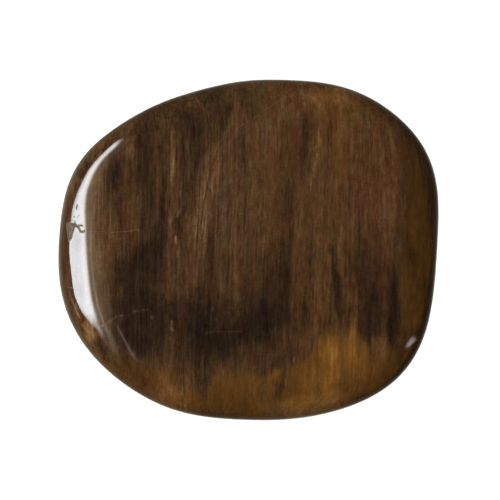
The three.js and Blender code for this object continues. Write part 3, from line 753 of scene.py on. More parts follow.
def paint(P):
    """The brightness level and the share of each hue at points on the stone."""
    g = grain_of(P)
    depth = np.clip(WIDEST_Z - P[:, 2], 0, None)
    under = smooth(0, 4.0, depth)
    # The markings run through the slice on a slant, and wander below the widest line.
    Q = P.copy()
    Q[:, 0] += 0.60 * depth + 1.8 * under * noise3(g / [9, 22, 9], 12)
    Q[:, 1] += 0.35 * depth + 3.5 * under * noise3(g / [6, 30, 9], 13)
    Q[:, 2] = np.maximum(P[:, 2], WIDEST_Z)
    px = frame_px(Q)
    side = 0.5 * noise3(g / [3.0, 18, 4], 14) + 0.25 * noise3(g / [0.9, 8, 1.5], 15)
    fray = 6.5 * noise3(g / [0.42, 26, 1.0], 16) + 5.5 * noise3(g / [1.5, 30, 3], 17)
    thread = 0.80 + 0.55 * noise3(g / [0.42, 10, 0.9], 19)
    gaps = noise3(g / [0.8, 1.9, 1.2], 18)
    level = np.full(len(P), 80.0)
    share = np.zeros((len(P), len(HUES)))
    # away from the left side the ground is warmer
    warm = smooth(225, 300, px[:, 0])
    share[:, HUES.index("honey")] = 0.05 + 0.36 * warm
    share[:, HUES.index("russet")] = 0.08 + 0.16 * warm

    def lay(where, mask, hue, to):
        level[where] += mask * (to - level[where])
        target = np.array([float(hue == h) for h in HUES])
        carry = 0.4 if hue == "brown" else 1.0
        share[where] += carry * mask[:, None] * (target - share[where])

    for hue, to, strength, soft, poly, *free in ZONES:
        poly = np.array(poly, float)
        q = px + np.stack([side, fray * (free[0] if free else 1.0)], -1)
        near = np.flatnonzero(((q > poly.min(0) - 2 * soft) & (q < poly.max(0) + 2 * soft)).all(1))
        if len(near):
            s = in_polygon(q[near], poly)
            lay(near, strength * smooth(-soft, soft, s), hue, to)
    for group, free in ((STREAKS, 1.0), (SPECKS, 0.12)):
        for hue, to, strength, half, line in group:
            line = np.array(line, float)
            length = np.hypot(*np.diff(line, axis=0).T).sum()
            ease = free * min(1.0, half / 3.0)
            hold = free * min(1.0, half / 2.0) * (0.35 if length <= 5 * half else 1.0)
            q = px + np.stack([side * ease, fray * hold], -1)
            reach = 1.7 * half
            near = np.flatnonzero(((q > line.min(0) - reach) & (q < line.max(0) + reach)).all(1))
            if not len(near):
                continue
            d, u = to_line(q[near], line)
            taper = 1.0
            if length > 5 * half:
                e = np.clip(np.minimum(u, 1 - u) / 0.22, 0, 1)
                taper = 0.45 + 0.55 * np.sqrt(e)
            m = smooth(1.5, 0.2, d / (half * taper))
            if length > 5 * half:
                m = m * smooth(-0.04, 0.26, np.minimum(u, 1 - u))
            if free == 1.0:
                m = m * (np.clip(thread[near], 0.2, 1.1) if half > 2.2 else 1 - 0.55 * smooth(0.1, -0.3, gaps[near]))
            lay(near, strength * np.clip(m, 0, 1), hue, to)
    # painted rim shade, darker to the right and below where the key light falls away: by bearing from the middle
    th, inset, _, _ = rim_coords(Q[:, :2])
    bearing = np.degrees(th) % 360
    inset = inset / SCALE
    keys = np.array(RIM_PAINTED_SHADE, float)
    amount, to, full, gone = (np.interp(bearing, keys[:, 0], keys[:, k], period=360) for k in (1, 2, 3, 4))
    wave = 1.0 + 0.25 * noise3(g / [5.0, 9.0, 6.0], 20)
    mask = amount * smooth(gone * wave, full * wave, inset)
    level += mask * (to - level)
    share += (0.6 * mask)[:, None] * (np.array([0.0, 0.25, 0.75, 0.0]) - share)
    return 0.972 * level, share, g


# ---------------------------------------------------------------------------
# The mesh: one closed skin, finer along the cracks and in the chip
# ---------------------------------------------------------------------------
AROUND = 640
RIM_RINGS = 36
FOOT_RINGS = 18
SPACING = 0.21  # across the grain, where the markings change fastest
SPACING_ALONG = 0.27

theta = np.linspace(0, 2 * np.pi, AROUND, endpoint=False)
C0, n0, _, _ = outline(theta)
shoulder = C0 - n0 * TOP_REACH
ring_points = [
    shoulder + n0 * (TOP_LEN * j / RIM_RINGS) for j in range(RIM_RINGS, -1, -1)
]
border = ring_points[0]
body = np.concatenate(ring_points[1:])

gx = np.arange(-34, 34, SPACING)
gy = np.arange(-31, 31, SPACING_ALONG)
X, Y = np.meshgrid(gx, gy)
X = X + (np.arange(len(gy)) % 2)[:, None] * SPACING / 2
hexes = np.stack([X.ravel(), Y.ravel()], -1)
_, d_, _, _ = rim_coords(hexes)
hexes = hexes[d_ > TOP_REACH + SPACING * 0.6]
coarse = np.concatenate([body, hexes])

fine = []
for name, (w, dep, line) in cracks.items():
    step = 0.14
    pts = resample(line, step)
    tangent = np.gradient(pts, axis=0)
    tangent /= np.linalg.norm(tangent, axis=1, keepdims=True)
    side = np.stack([-tangent[:, 1], tangent[:, 0]], -1)
    jitter = 0.25 * w * noise3(np.c_[pts / 0.5, np.zeros(len(pts))], 9)[:, None]
    pts = pts + side * jitter * (0.3 if w < 0.2 else 0.6)
    cracks[name] = (w, dep, pts)
    rows = [(0.0, 0), (0.28 * w, 1), (-0.28 * w, 1), (0.52 * w, 0), (-0.52 * w, 0), (0.52 * w + 0.16, 1), (-0.52 * w - 0.16, 1)]
    for off, shift in rows:
        q = pts + side * off
        if shift:
            q = (q[1:] + q[:-1]) / 2
        fine.append(q)
lo, hi = chip_poly.min(0) - 0.3, chip_poly.max(0) + 0.3
cs = 0.085
X, Y = np.meshgrid(np.arange(lo[0], hi[0], cs), np.arange(lo[1], hi[1], cs * 0.866))
X = X + (np.arange(X.shape[0]) % 2)[:, None] * cs / 2
dense = np.stack([X.ravel(), Y.ravel()], -1)
fine.append(dense[in_polygon(dense, chip_poly) > -0.3])
for c, rx, ry, dep in pits:
    X, Y = np.meshgrid(np.arange(-rx - 0.15, rx + 0.15, 0.06), np.arange(-ry - 0.15, ry + 0.15, 0.06))
    q = np.stack([X.ravel(), Y.ravel()], -1) + c
    fine.append(q)
for group in (STREAKS, SPECKS):
    for hue, to, strength, half, line in group:
        if half > 1.3:
            continue
        pts = resample(unroll(plan(line)), 0.24)
        tangent = np.gradient(pts, axis=0)
        tangent /= np.linalg.norm(tangent, axis=1, keepdims=True)
        side = np.stack([-tangent[:, 1], tangent[:, 0]], -1)
        for off in (-1.1, -0.45, 0.45, 1.1):
            fine.append(pts + side * off * half * SCALE)
fine = np.concatenate(fine)


def thin(points, gap):
    """Drops points closer than gap to an earlier one."""
    keep, cells = [], {}
    key = np.floor(points / gap).astype(int)
    for i, (k, p) in enumerate(zip(map(tuple, key), points)):
        clash = False
        for a in (-1, 0, 1):
            for b in (-1, 0, 1):
                for j in cells.get((k[0] + a, k[1] + b), ()):
                    if np.hypot(*(points[j] - p)) < gap:
                        clash = True
        if not clash:
            keep.append(i)
            cells.setdefault(k, []).append(i)
    return points[keep]


fine = thin(fine, 0.045)
tree = kdtree.KDTree(len(fine))
for i, p in enumerate(fine):
    tree.insert((p[0], p[1], 0), i)
tree.balance()
far = np.array([tree.find((p[0], p[1], 0))[2] > 0.17 for p in coarse])
coarse = coarse[far]
_, d_, _, _ = rim_coords(fine)
fine = fine[(TOP_REACH - d_) < TOP_LEN - 0.12]

sheet = np.concatenate([border, coarse, fine])
out = delaunay_2d_cdt(
    [Vector(p) for p in sheet],
    [(i, (i + 1) % AROUND) for i in range(AROUND)],
    [],
    1,
    1e-7,
    True,
)
verts2d = np.array([tuple(v) for v in out[0]])
tris = np.array(out[2])
# The order that went in: the border must stay the first AROUND vertices.
order = np.full(len(sheet), -1)
for i, olds in enumerate(out[3]):
    for o in olds:
        order[o] = i
assert (order >= 0).all() and len(verts2d) <= len(sheet) + 8
upper_xyz, upper_n = roll(verts2d)
h = relief(verts2d)
edge_fade = smooth(0, 1.2, TOP_LEN - (TOP_REACH - rim_coords(verts2d)[1]))
h *= edge_fade
e = 0.02
A = np.cross(upper_n, [0.0, 0.0, 1.0])
slope = []
for delta in ([e, 0], [0, e]):
    p1, _ = roll(verts2d + delta)
    p0, _ = roll(verts2d - delta)
    t = p1 - p0
    tl = np.linalg.norm(t, axis=1, keepdims=True)
    dh = (relief(verts2d + delta) - relief(verts2d - delta)) * edge_fade
    slope.append((t / tl, dh / tl[:, 0]))
(tx, sx), (ty, sy) = slope
# The surface gradient of the relief, from its slopes along two directions that may not be square.
c = (tx * ty).sum(1)
det = np.clip(1 - c * c, 1e-3, None)
ga, gb = (sx - c * sy) / det, (sy - c * sx) / det
upper_normals = upper_n - tx * ga[:, None] - ty * gb[:, None]
upper_normals /= np.linalg.norm(upper_normals, axis=1, keepdims=True)
upper = upper_xyz + upper_n * h[:, None]

# Below the widest line: rings down to the resting face, then the face itself.
first = order[:AROUND]
low_xyz, low_n = [], []
for j in range(1, FOOT_RINGS + 1):
    s = FOOT_LEN * (1 - j / FOOT_RINGS)
    t = np.interp(s, FOOT_ARC[::-1], FOOT_T[::-1])
    inset = FOOT_REACH * (1 - math.cos(t))
    ring = C0 - n0 * inset
    z = WIDEST_Z * (1 - math.sin(t))
    nr = np.array([math.cos(t) / FOOT_REACH, math.sin(t) / WIDEST_Z])
    nr /= np.linalg.norm(nr)
    low_xyz.append(np.c_[ring, np.full(AROUND, z)])
    low_n.append(np.c_[n0 * nr[0], np.full(AROUND, -nr[1])])
faces = [tris]
base = len(upper)
prev = first
for j in range(FOOT_RINGS):
    now = base + j * AROUND + np.arange(AROUND)
    p2, n2 = np.roll(prev, -1), np.roll(now, -1)
    faces.append(np.stack([prev, now, n2], -1))
    faces.append(np.stack([prev, n2, p2], -1))
    prev = now
foot_ring = C0 - n0 * FOOT_REACH
step = 1.1
X, Y = np.meshgrid(np.arange(-36, 36, step), np.arange(-32, 32, step * 0.866))
X = X + (np.arange(X.shape[0]) % 2)[:, None] * step / 2
inner = np.stack([X.ravel(), Y.ravel()], -1)
_, d_, _, _ = rim_coords(inner)
inner = inner[d_ > FOOT_REACH + 0.7]
o2 = delaunay_2d_cdt([Vector(p) for p in np.concatenate([foot_ring, inner])], [], [], 0, 1e-7, True)
where = np.array([min(x) for x in o2[3]])
foot_pts = np.array([tuple(v) for v in o2[0]])
base2 = base + FOOT_RINGS * AROUND
remap = np.where(where < AROUND, base + (FOOT_RINGS - 1) * AROUND + where, base2 + where - AROUND)
foot_tris = np.array(o2[2])
inner_xyz = np.c_[inner, np.zeros(len(inner))]
faces.append(remap[foot_tris][:, ::-1])

V = np.concatenate([upper, *low_xyz, inner_xyz])
N = np.concatenate([upper_normals, *low_n, np.tile([0.0, 0.0, -1.0], (len(inner), 1))])
F = np.concatenate(faces)
# every face outwards
a, b, c3 = V[F[:, 0]], V[F[:, 1]], V[F[:, 2]]
flip = (np.cross(b - a, c3 - a) * N[F].sum(1)).sum(1) < 0
F[flip] = F[flip][:, ::-1]

mesh = bpy.data.meshes.new("petrified_wood")
mesh.vertices.add(len(V))
mesh.vertices.foreach_set("co", (V * MM).astype(np.float32).ravel())
mesh.loops.add(len(F) * 3)
mesh.loops.foreach_set("vertex_index", F.astype(np.int32).ravel())
mesh.polygons.add(len(F))
mesh.polygons.foreach_set("loop_start", np.arange(0, len(F) * 3, 3, dtype=np.int32))
mesh.polygons.foreach_set("loop_total", np.full(len(F), 3, dtype=np.int32))
mesh.polygons.foreach_set("use_smooth", np.ones(len(F), bool))
mesh.update(calc_edges=True)
mesh.validate(verbose=False)
mesh.normals_split_custom_set_from_vertices([tuple(n) for n in N])
stone = bpy.data.objects.new("petrified_wood", mesh)
bpy.context.scene.collection.objects.link(stone)
print("STONE vertices", len(V), "triangles", len(F), "fine", len(fine))

# ---------------------------------------------------------------------------
# Small helpers for node trees
# ---------------------------------------------------------------------------
def math_node(tree, op, a=None, b=None, c=None, clamp=False):
    n = tree.nodes.new("ShaderNodeMath")
    n.operation, n.use_clamp = op, clamp
    for i, v in enumerate((a, b, c)):
        if v is None:
            continue
        if isinstance(v, (int, float)):
            n.inputs[i].default_value = v
        else:
            tree.links.new(v, n.inputs[i])
    return n.outputs[0]


def remap(tree, value, a, b, lo=0.0, hi=1.0, soft=True):
    n = tree.nodes.new("ShaderNodeMapRange")
    n.interpolation_type = "SMOOTHSTEP" if soft else "LINEAR"
    n.clamp = True
    if isinstance(value, (int, float)):
        n.inputs["Value"].default_value = value
    else:
        tree.links.new(value, n.inputs["Value"])
    for name, v in (("From Min", a), ("From Max", b), ("To Min", lo), ("To Max", hi)):
        n.inputs[name].default_value = v
    return n.outputs["Result"]


def blend_colour(tree, factor, a, b, mode="MIX"):
    n = tree.nodes.new("ShaderNodeMix")
    n.data_type, n.blend_type = "RGBA", mode
    n.clamp_factor = True
    for sock, v in ((n.inputs[0], factor), (n.inputs[6], a), (n.inputs[7], b)):
        if isinstance(v, (int, float)):
            sock.default_value = v
        elif isinstance(v, tuple):
            sock.default_value = (*v, 1) if len(v) == 3 else v
        else:
            tree.links.new(v, sock)
    return n.outputs[2]

# ---------------------------------------------------------------------------
# The markings on the mesh: level, hues, grain coordinates, roughness
# ---------------------------------------------------------------------------
# Tones along the cracks: (hue, level, strength, half width mm, from, to, how broken)
CRACK_TONES = {
    "rim_branch": [("olive", 76, 1.0, 0.30, 0.0, 0.9, 0.2)],
    "rim_branch_twig": [("olive", 80, 1.0, 0.26, 0.0, 1.0, 0.2)],
    "left_cross": [("russet", 56, 0.4, 0.16, 0.0, 0.35, 0.6), ("russet", 112, 0.4, 0.15, 0.3, 1.0, 1.2)],
    "arc": [("grey", 92, 0.42, 0.24, 0.0, 0.6, 1.5), ("brown", 30, 0.65, 0.15, 0.5, 1.0, 0.4)],
    "low_cross": [("brown", 64, 0.6, 0.15, 0.0, 1.0, 0.5)],
    "right_cross": [("russet", 46, 0.45, 0.14, 0.0, 0.5, 0.3), ("brown", 52, 0.2, 0.14, 0.45, 1.0, 0.5)],
    "top_feather": [("brown", 106, 0.45, 0.15, 0.0, 1.0, 0.5)],
    "top_feather_end": [("brown", 102, 0.3, 0.15, 0.0, 1.0, 1.0)],
    "long_diagonal": [("brown", 42, 0.66, 0.16, 0.0, 1.0, 0.45)],
    # pale tone along the rim scratch: a painted glint, a thin reflection in the rim
    "rim_scratch_and_painted_glint": [("brown", 138, 0.75, 0.2, 0.0, 1.0, 0.3)],
    "rim_cross": [("brown", 100, 0.4, 0.12, 0.0, 1.0, 0.4)],
}
level, share, grain = paint(V)
rough = np.zeros(len(V))
flat3 = np.c_[verts2d, np.zeros(len(verts2d))]


def tint(where, mask, hue, to):
    level[where] += mask * (to - level[where])
    target = np.array([float(hue == h) for h in HUES])
    share[where] += mask[:, None] * (target - share[where])


# How strongly the fibres show: most in the ruled left field and right of the middle, least in the honey-coloured part
px = frame_px(V)


def block(x0, x1, y0, y1, soft=9.0):
    x, y = px[:, 0], px[:, 1]
    return smooth(x0 - soft, x0 + soft, x) * smooth(x1 + soft, x1 - soft, x) * smooth(y0 - soft, y0 + soft, y) * smooth(y1 + soft, y1 - soft, y)


vigour = 1.0 + 0.40 * block(150, 204, 96, 244) + 0.50 * block(304, 362, 236, 326)
vigour *= 1 - 0.35 * smooth(0.5, 0.9, share[:, HUES.index("honey")]) * smooth(320, 350, px[:, 1])

for name, tones in CRACK_TONES.items():
    w, dep, line = cracks[name]
    near = np.flatnonzero(((verts2d > line.min(0) - 1) & (verts2d < line.max(0) + 1)).all(1))
    d, u = to_line(verts2d[near], line)
    for hue, to, strength, half, u0, u1, broken in tones:
        gaps = 1 - broken * smooth(0.05, -0.35, noise3(flat3[near] / [0.9, 0.9, 1], 21))
        ends = smooth(u0 - 0.03, u0 + 0.04, u) * smooth(u1 + 0.03, u1 - 0.04, u)
        tint(near, strength * gaps * ends * smooth(1.5, 0.5, d / half), hue, to)
    rim = name.startswith("rim_branch")
    rough[near] = np.maximum(rough[near], (0.95 if rim else 0.3) * smooth(1.5 if rim else 1.3, 0.6, d / (w / 2)))
near = np.flatnonzero(np.hypot(*(verts2d - chip_poly.mean(0)).T) < 5)
s = in_polygon(verts2d[near], chip_poly)
speckle = noise3(flat3[near] / 0.35, 22)
patch = noise3(flat3[near] / 1.1, 23)
tint(near, 0.8 * smooth(-0.16, 0.04, s), "brown", 46)
tint(near, smooth(0.04, 0.30, s), "olive", 64)
tint(near, 0.5 * smooth(0.04, 0.30, s) * smooth(-0.1, 0.4, patch), "grey", 62)
level[near] += smooth(0.05, 0.3, s) * 18 * speckle
rough[near] = np.maximum(rough[near], smooth(-0.14, -0.02, s))
for c, rx, ry, dep in pits:
    q = np.hypot((verts2d[:, 0] - c[0]) / rx, (verts2d[:, 1] - c[1]) / ry)
    near = np.flatnonzero(q < 1.7)
    tint(near, 0.8 * smooth(1.5, 0.8, q[near]), "grey", 86)
    rough[near] = np.maximum(rough[near], 0.6 * smooth(1.4, 0.8, q[near]))


def put(name, kind, values):
    a = mesh.attributes.new(name, kind, "POINT")
    field = {"FLOAT": "value", "FLOAT_VECTOR": "vector", "FLOAT_COLOR": "color"}[kind]
    a.data.foreach_set(field, np.ascontiguousarray(values, dtype=np.float32).ravel())


put("level", "FLOAT", level)
put("rough", "FLOAT", rough)
put("vigour", "FLOAT", vigour)
put("calm", "FLOAT", 0.40 + 0.60 * smooth(1.0, 8.0, rim_coords(V[:, :2])[1] / SCALE))
put("grain", "FLOAT_VECTOR", grain)
put("hues", "FLOAT_COLOR", share)

# A flat layout of the skin: the upper surface unrolled, the lower one beside it at a smaller scale
assert len(mesh.polygons) == len(F) and len(mesh.vertices) == len(V)
UP_SCALE, UP_MID = 0.36 / 44.0, np.array([0.37, 0.37])
LOW_SCALE, LOW_MID = 0.19 / 44.0, np.array([0.80, 0.80])
low_plan = np.zeros((len(V), 2))
low_plan[first] = foot_ring + n0 * FOOT_LEN
for j in range(1, FOOT_RINGS + 1):
    low_plan[base + (j - 1) * AROUND : base + j * AROUND] = foot_ring + n0 * (FOOT_LEN * (1 - j / FOOT_RINGS))
low_plan[base2:] = inner
up_plan = np.zeros((len(V), 2))
up_plan[: len(verts2d)] = verts2d
uv = np.where(
    (np.arange(len(F)) < len(tris))[:, None, None],
    up_plan[F] * UP_SCALE + UP_MID,
    low_plan[F] * [-LOW_SCALE, LOW_SCALE] + LOW_MID,
)
layer = mesh.uv_layers.new(name="OFBake")
layer.data.foreach_set("uv", uv.astype(np.float32).ravel())

# ---------------------------------------------------------------------------
# Petrified wood: palettes by brightness level, fibres from stretched noise in the grain
# ---------------------------------------------------------------------------
EXPOSURE = 1.43  # how much brighter a colour on the flat face shows than its albedo
LEVELS = (24, 40, 60, 80, 100, 125, 155)
PALETTES = {
    "brown": [(24, 17, 13), (40, 28, 20), (60, 41, 26), (80, 56, 35), (100, 74, 49), (125, 97, 68), (155, 128, 95)],
    "russet": [(24, 15, 12), (40, 24, 17), (60, 36, 23), (80, 49, 30), (100, 65, 42), (125, 86, 58), (155, 115, 84)],
    "honey": [(24, 16, 8), (40, 26, 11), (60, 38, 15), (80, 52, 21), (100, 65, 28), (125, 83, 33), (155, 112, 58)],
    "olive": [(24, 19, 12), (40, 31, 17), (60, 46, 24), (80, 62, 34), (100, 79, 44), (125, 101, 62), (155, 131, 94)],
    "grey": [(24, 19, 17), (40, 31, 27), (60, 47, 37), (80, 63, 49), (100, 81, 65), (125, 107, 90), (155, 136, 118)],
}


def albedo(rgb):
    c = np.array(rgb, float) / 255
    return tuple(np.where(c > 0.04045, ((c + 0.055) / 1.055) ** 2.4, c / 12.92) / EXPOSURE)


mat = bpy.data.materials.new("petrified_wood")
mat.use_nodes = True
mesh.materials.append(mat)
mt = mat.node_tree
bsdf = mt.nodes["Principled BSDF"]
bsdf.inputs["IOR"].default_value = 1.54


def attribute(tree, name, socket):
    n = tree.nodes.new("ShaderNodeAttribute")
    n.attribute_type = "GEOMETRY"
    n.attribute_name = name
    return n.outputs[socket]


def fibres(tree, where, across, along, deep, seed, detail=2.0, rough=0.5):
    """Noise stretched along the grain; the sizes are in mm."""
    v = tree.nodes.new("ShaderNodeVectorMath")
    v.operation = "MULTIPLY_ADD"
    tree.links.new(where, v.inputs[0])
    v.inputs[1].default_value = (1 / across, 1 / along, 1 / deep)
    v.inputs[2].default_value = (seed * 3.7, seed * 5.1, seed * 7.3)
    n = tree.nodes.new("ShaderNodeTexNoise")
    n.noise_dimensions = "3D"
    n.inputs["Scale"].default_value = 1.0
    n.inputs["Detail"].default_value = detail
    n.inputs["Roughness"].default_value = rough
    tree.links.new(v.outputs[0], n.inputs["Vector"])
    return n.outputs["Fac"]


def ramp(tree, value, name):
    n = tree.nodes.new("ShaderNodeValToRGB")
    n.label = name
    n.color_ramp.interpolation = "LINEAR"
    stops = n.color_ramp.elements
    while len(stops) < len(LEVELS):
        stops.new(0.5)
    for stop, at, rgb in zip(stops, LEVELS, PALETTES[name]):
        stop.position = at / 160
        stop.color = (*albedo(rgb), 1)
    tree.links.new(value, n.inputs["Fac"])
    return n.outputs["Color"]


g = attribute(mt, "grain", "Vector")
lev = attribute(mt, "level", "Fac")
hues = mt.nodes.new("ShaderNodeSeparateColor")
hue_node = attribute(mt, "hues", "Color")
mt.links.new(hue_node, hues.inputs[0])
grey_share = hue_node.node.outputs["Alpha"]
worn = attribute(mt, "rough", "Fac")
vig = attribute(mt, "vigour", "Fac")
calm = attribute(mt, "calm", "Fac")

hair = fibres(mt, g, 0.20, 1.7, 0.34, 1, 1.0)
strand = fibres(mt, g, 0.46, 4.0, 0.9, 2, 2.0)
band = fibres(mt, g, 1.7, 17.0, 3.4, 3, 2.0)
cloud = fibres(mt, g, 6.0, 9.0, 7.0, 4, 2.0)
vessel = fibres(mt, g, 0.30, 1.2, 0.5, 5, 1.0)
redder = fibres(mt, g, 0.9, 5.0, 2.0, 6, 2.0)
greener = fibres(mt, g, 1.4, 6.0, 3.0, 7, 2.0)
stained = fibres(mt, g, 2.4, 4.5, 3.0, 8, 2.0)
ripple = fibres(mt, g, 1.4, 0.34, 1.2, 8, 1.0)
long_fibre = fibres(mt, g, 0.40, 24.0, 1.0, 9, 1.0)
grit = fibres(mt, g, 0.34, 0.42, 0.34, 10, 1.0)
fleck = fibres(mt, g, 1.0, 2.2, 1.0, 11, 2.0, 0.6)
place = mt.nodes.new("ShaderNodeSeparateXYZ")
mt.links.new(g, place.inputs[0])
# The left half is ruled with long straight fibres; the right is shorter-grained.
ruled = remap(mt, place.outputs["X"], -8.0, 4.0, 0.62, 0.30)

total = None
for source, k in ((strand, 0.20), (band, 0.46), (cloud, 0.28), (fleck, 0.42)):
    part = math_node(mt, "MULTIPLY_ADD", source, k, -0.5 * k)
    total = part if total is None else math_node(mt, "ADD", total, part)
ruling = math_node(mt, "MULTIPLY", math_node(mt, "SUBTRACT", long_fibre, 0.5), ruled)
ruling = math_node(mt, "MULTIPLY", ruling, math_node(mt, "MULTIPLY_ADD", hues.outputs[1], -0.5, 1.0))
total = math_node(mt, "ADD", total, ruling)
total = math_node(mt, "MULTIPLY_ADD", total, vig, 1.0)
value = math_node(mt, "MULTIPLY", lev, total)
value = math_node(mt, "DIVIDE", value, 160.0, clamp=True)
# The finest fibres are paler or darker without much hue: the weak channels swing most.
fine_tone = None
for source, k in ((hair, 0.70), (strand, 0.5), (ripple, 0.3), (grit, 0.36)):
    part = math_node(mt, "MULTIPLY_ADD", source, k, -0.5 * k)
    fine_tone = part if fine_tone is None else math_node(mt, "ADD", fine_tone, part)
fine_tone = math_node(mt, "ADD", fine_tone, remap(mt, vessel, 0.62, 0.76, 0.0, 0.26))
fine_tone = math_node(mt, "SUBTRACT", fine_tone, remap(mt, vessel, 0.36, 0.26, 0.0, 0.20))

colour = ramp(mt, value, "brown")
reds = math_node(mt, "MULTIPLY_ADD", redder, 3.6, -1.72)
reds = math_node(mt, "ADD", reds, math_node(mt, "MULTIPLY_ADD", stained, 1.3, -0.65))
greens = math_node(mt, "MULTIPLY_ADD", greener, 3.1, -1.54)
russet_share = math_node(mt, "ADD", hues.outputs[0], reds, clamp=True)
olive_share = math_node(mt, "ADD", hues.outputs[2], greens, clamp=True)
colour = blend_colour(mt, russet_share, colour, ramp(mt, value, "russet"))
colour = blend_colour(mt, olive_share, colour, ramp(mt, value, "olive"))
colour = blend_colour(mt, hues.outputs[1], colour, ramp(mt, value, "honey"))
colour = blend_colour(mt, grey_share, colour, ramp(mt, value, "grey"))
# the honey-coloured part is the smoothest
fine_tone = math_node(mt, "MULTIPLY", fine_tone, math_node(mt, "MULTIPLY_ADD", hues.outputs[1], -0.5, 1.0))
fine_tone = math_node(mt, "MULTIPLY", fine_tone, calm)
swing = mt.nodes.new("ShaderNodeCombineColor")
for i, k in enumerate((1.0, 1.5, 2.6)):
    part = math_node(mt, "MULTIPLY_ADD", fine_tone, k, 1.0)
    mt.links.new(math_node(mt, "MAXIMUM", part, 0.12), swing.inputs[i])
colour = blend_colour(mt, 1.0, colour, swing.outputs[0], "MULTIPLY")
mt.links.new(colour, bsdf.inputs["Base Color"])

polish = math_node(mt, "MULTIPLY_ADD", strand, 0.05, 0.035)
broken = math_node(mt, "MULTIPLY_ADD", worn, 0.80, polish, clamp=True)
mt.links.new(broken, bsdf.inputs["Roughness"])

height = math_node(mt, "MULTIPLY_ADD", strand, 0.7, math_node(mt, "MULTIPLY", hair, 0.3))
bump = mt.nodes.new("ShaderNodeBump")
bump.inputs["Strength"].default_value = 0.25
bump.inputs["Distance"].default_value = 0.000006
mt.links.new(height, bump.inputs["Height"])
mt.links.new(bump.outputs[0], bsdf.inputs["Normal"])

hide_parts(NODE)
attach(stone, "root")

# ---------------------------------------------------------------------------
# Floor and light
# ---------------------------------------------------------------------------
def plain(name, colour, rough=0.6):
    m = bpy.data.materials.new(name)
    m.use_nodes = True
    p = m.node_tree.nodes["Principled BSDF"]
    p.inputs["Base Color"].default_value = (*colour, 1)
    p.inputs["Roughness"].default_value = rough
    p.inputs["Specular IOR Level"].default_value = 0.0
    return m


def quad(name, corners, material):
    me = bpy.data.meshes.new(name)
    me.from_pydata([tuple(c) for c in corners], [], [(0, 1, 2, 3)])
    me.materials.append(material)
    ob = bpy.data.objects.new(name, me)
    bpy.context.scene.collection.objects.link(ob)
    return ob


R = 3.0
floor = quad("floor", [(-R, -R, 0), (R, -R, 0), (R, R, 0), (-R, R, 0)], plain("floor", (0.95, 0.95, 0.95)))
floor.visible_glossy = False
# the bench is lit evenly as far as it goes: the lamps only reach its middle
ft = floor.active_material.node_tree
spot = ft.nodes.new("ShaderNodeNewGeometry")
away = ft.nodes.new("ShaderNodeVectorMath")
away.operation = "LENGTH"
ft.links.new(spot.outputs["Position"], away.inputs[0])
lift = remap(ft, away.outputs["Value"], 0.14, 0.70, 0.0, 0.56)
shader = ft.nodes["Principled BSDF"]
shader.inputs["Emission Color"].default_value = (1.0, 1.0, 0.99, 1.0)
ft.links.new(lift, shader.inputs["Emission Strength"])


def area(name, place, size, power, colour=(1, 1, 1), aim=(0, 0, 0.007), size_y=None):
    data = bpy.data.lights.new(name, "AREA")
    data.shape = "RECTANGLE"
    data.size, data.size_y = size, size_y or size
    data.energy, data.color = power, colour
    ob = bpy.data.objects.new(name, data)
    bpy.context.scene.collection.objects.link(ob)
    ob.location = place
    ob.rotation_euler = (Vector(aim) - Vector(place)).to_track_quat("-Z", "Y").to_euler()
    return ob


key = area("key", (-0.62, 0.10, 0.50), 0.40, 8.74)
key.visible_glossy = False
key.data.use_shadow = False  # the stone is convex, so this only keeps the floor clear
top = area("fill", (0.0, 0.0, 0.9), 0.9, 3.68)
top.visible_glossy = False

# Pale surroundings for the eye, and dim ones for what the polish mirrors: dark above the horizon,
# a dull bench below it that is brightest on the key side.
world = bpy.data.worlds.new("studio")
bpy.context.scene.world = world
world.use_nodes = True
nt = world.node_tree
bg = nt.nodes["Background"]

way = nt.nodes.new("ShaderNodeTexCoord")
xyz = nt.nodes.new("ShaderNodeSeparateXYZ")
nt.links.new(way.outputs["Generated"], xyz.inputs[0])
bench = math_node(nt, "MULTIPLY_ADD", xyz.outputs["X"], -5.0, -2.5)
bench = math_node(nt, "ADD", math_node(nt, "MAXIMUM", bench, 0.0), 0.55)
below = math_node(nt, "MULTIPLY", xyz.outputs["Z"], -1.0, clamp=True)
below = math_node(nt, "POWER", below, 3.0)
dim = math_node(nt, "MULTIPLY_ADD", bench, below, 0.012)
dim_rgb = nt.nodes.new("ShaderNodeCombineColor")
for i, k in enumerate((1.0, 1.0, 0.86)):
    nt.links.new(math_node(nt, "MULTIPLY", dim, k), dim_rgb.inputs[i])
path = nt.nodes.new("ShaderNodeLightPath")
seen = blend_colour(nt, path.outputs["Is Glossy Ray"], (0.345, 0.345, 0.345), dim_rgb.outputs[0])
seen = blend_colour(nt, path.outputs["Is Camera Ray"], seen, (0.90, 0.90, 0.89))
nt.links.new(seen, bg.inputs["Color"])


# The window-shaped softbox at the left: its outline is where the rounded rim mirrors it.
def mirrored(points):
    """For places in the frame: the point on the stone and the direction in which it mirrors the camera's view."""
    P = plan(points)
    Q, n = roll(unroll(P))
    v = Q - EYE
    v /= np.linalg.norm(v, axis=1, keepdims=True)
    return Q, v - 2 * (v * n).sum(1, keepdims=True) * n


def even(points, count):
    points = np.asarray(points, float)
    s = np.r_[0, np.cumsum(np.hypot(*np.diff(points, axis=0).T))]
    u = np.linspace(0, s[-1], count)
    return np.stack([np.interp(u, s, points[:, 0]), np.interp(u, s, points[:, 1])], -1)


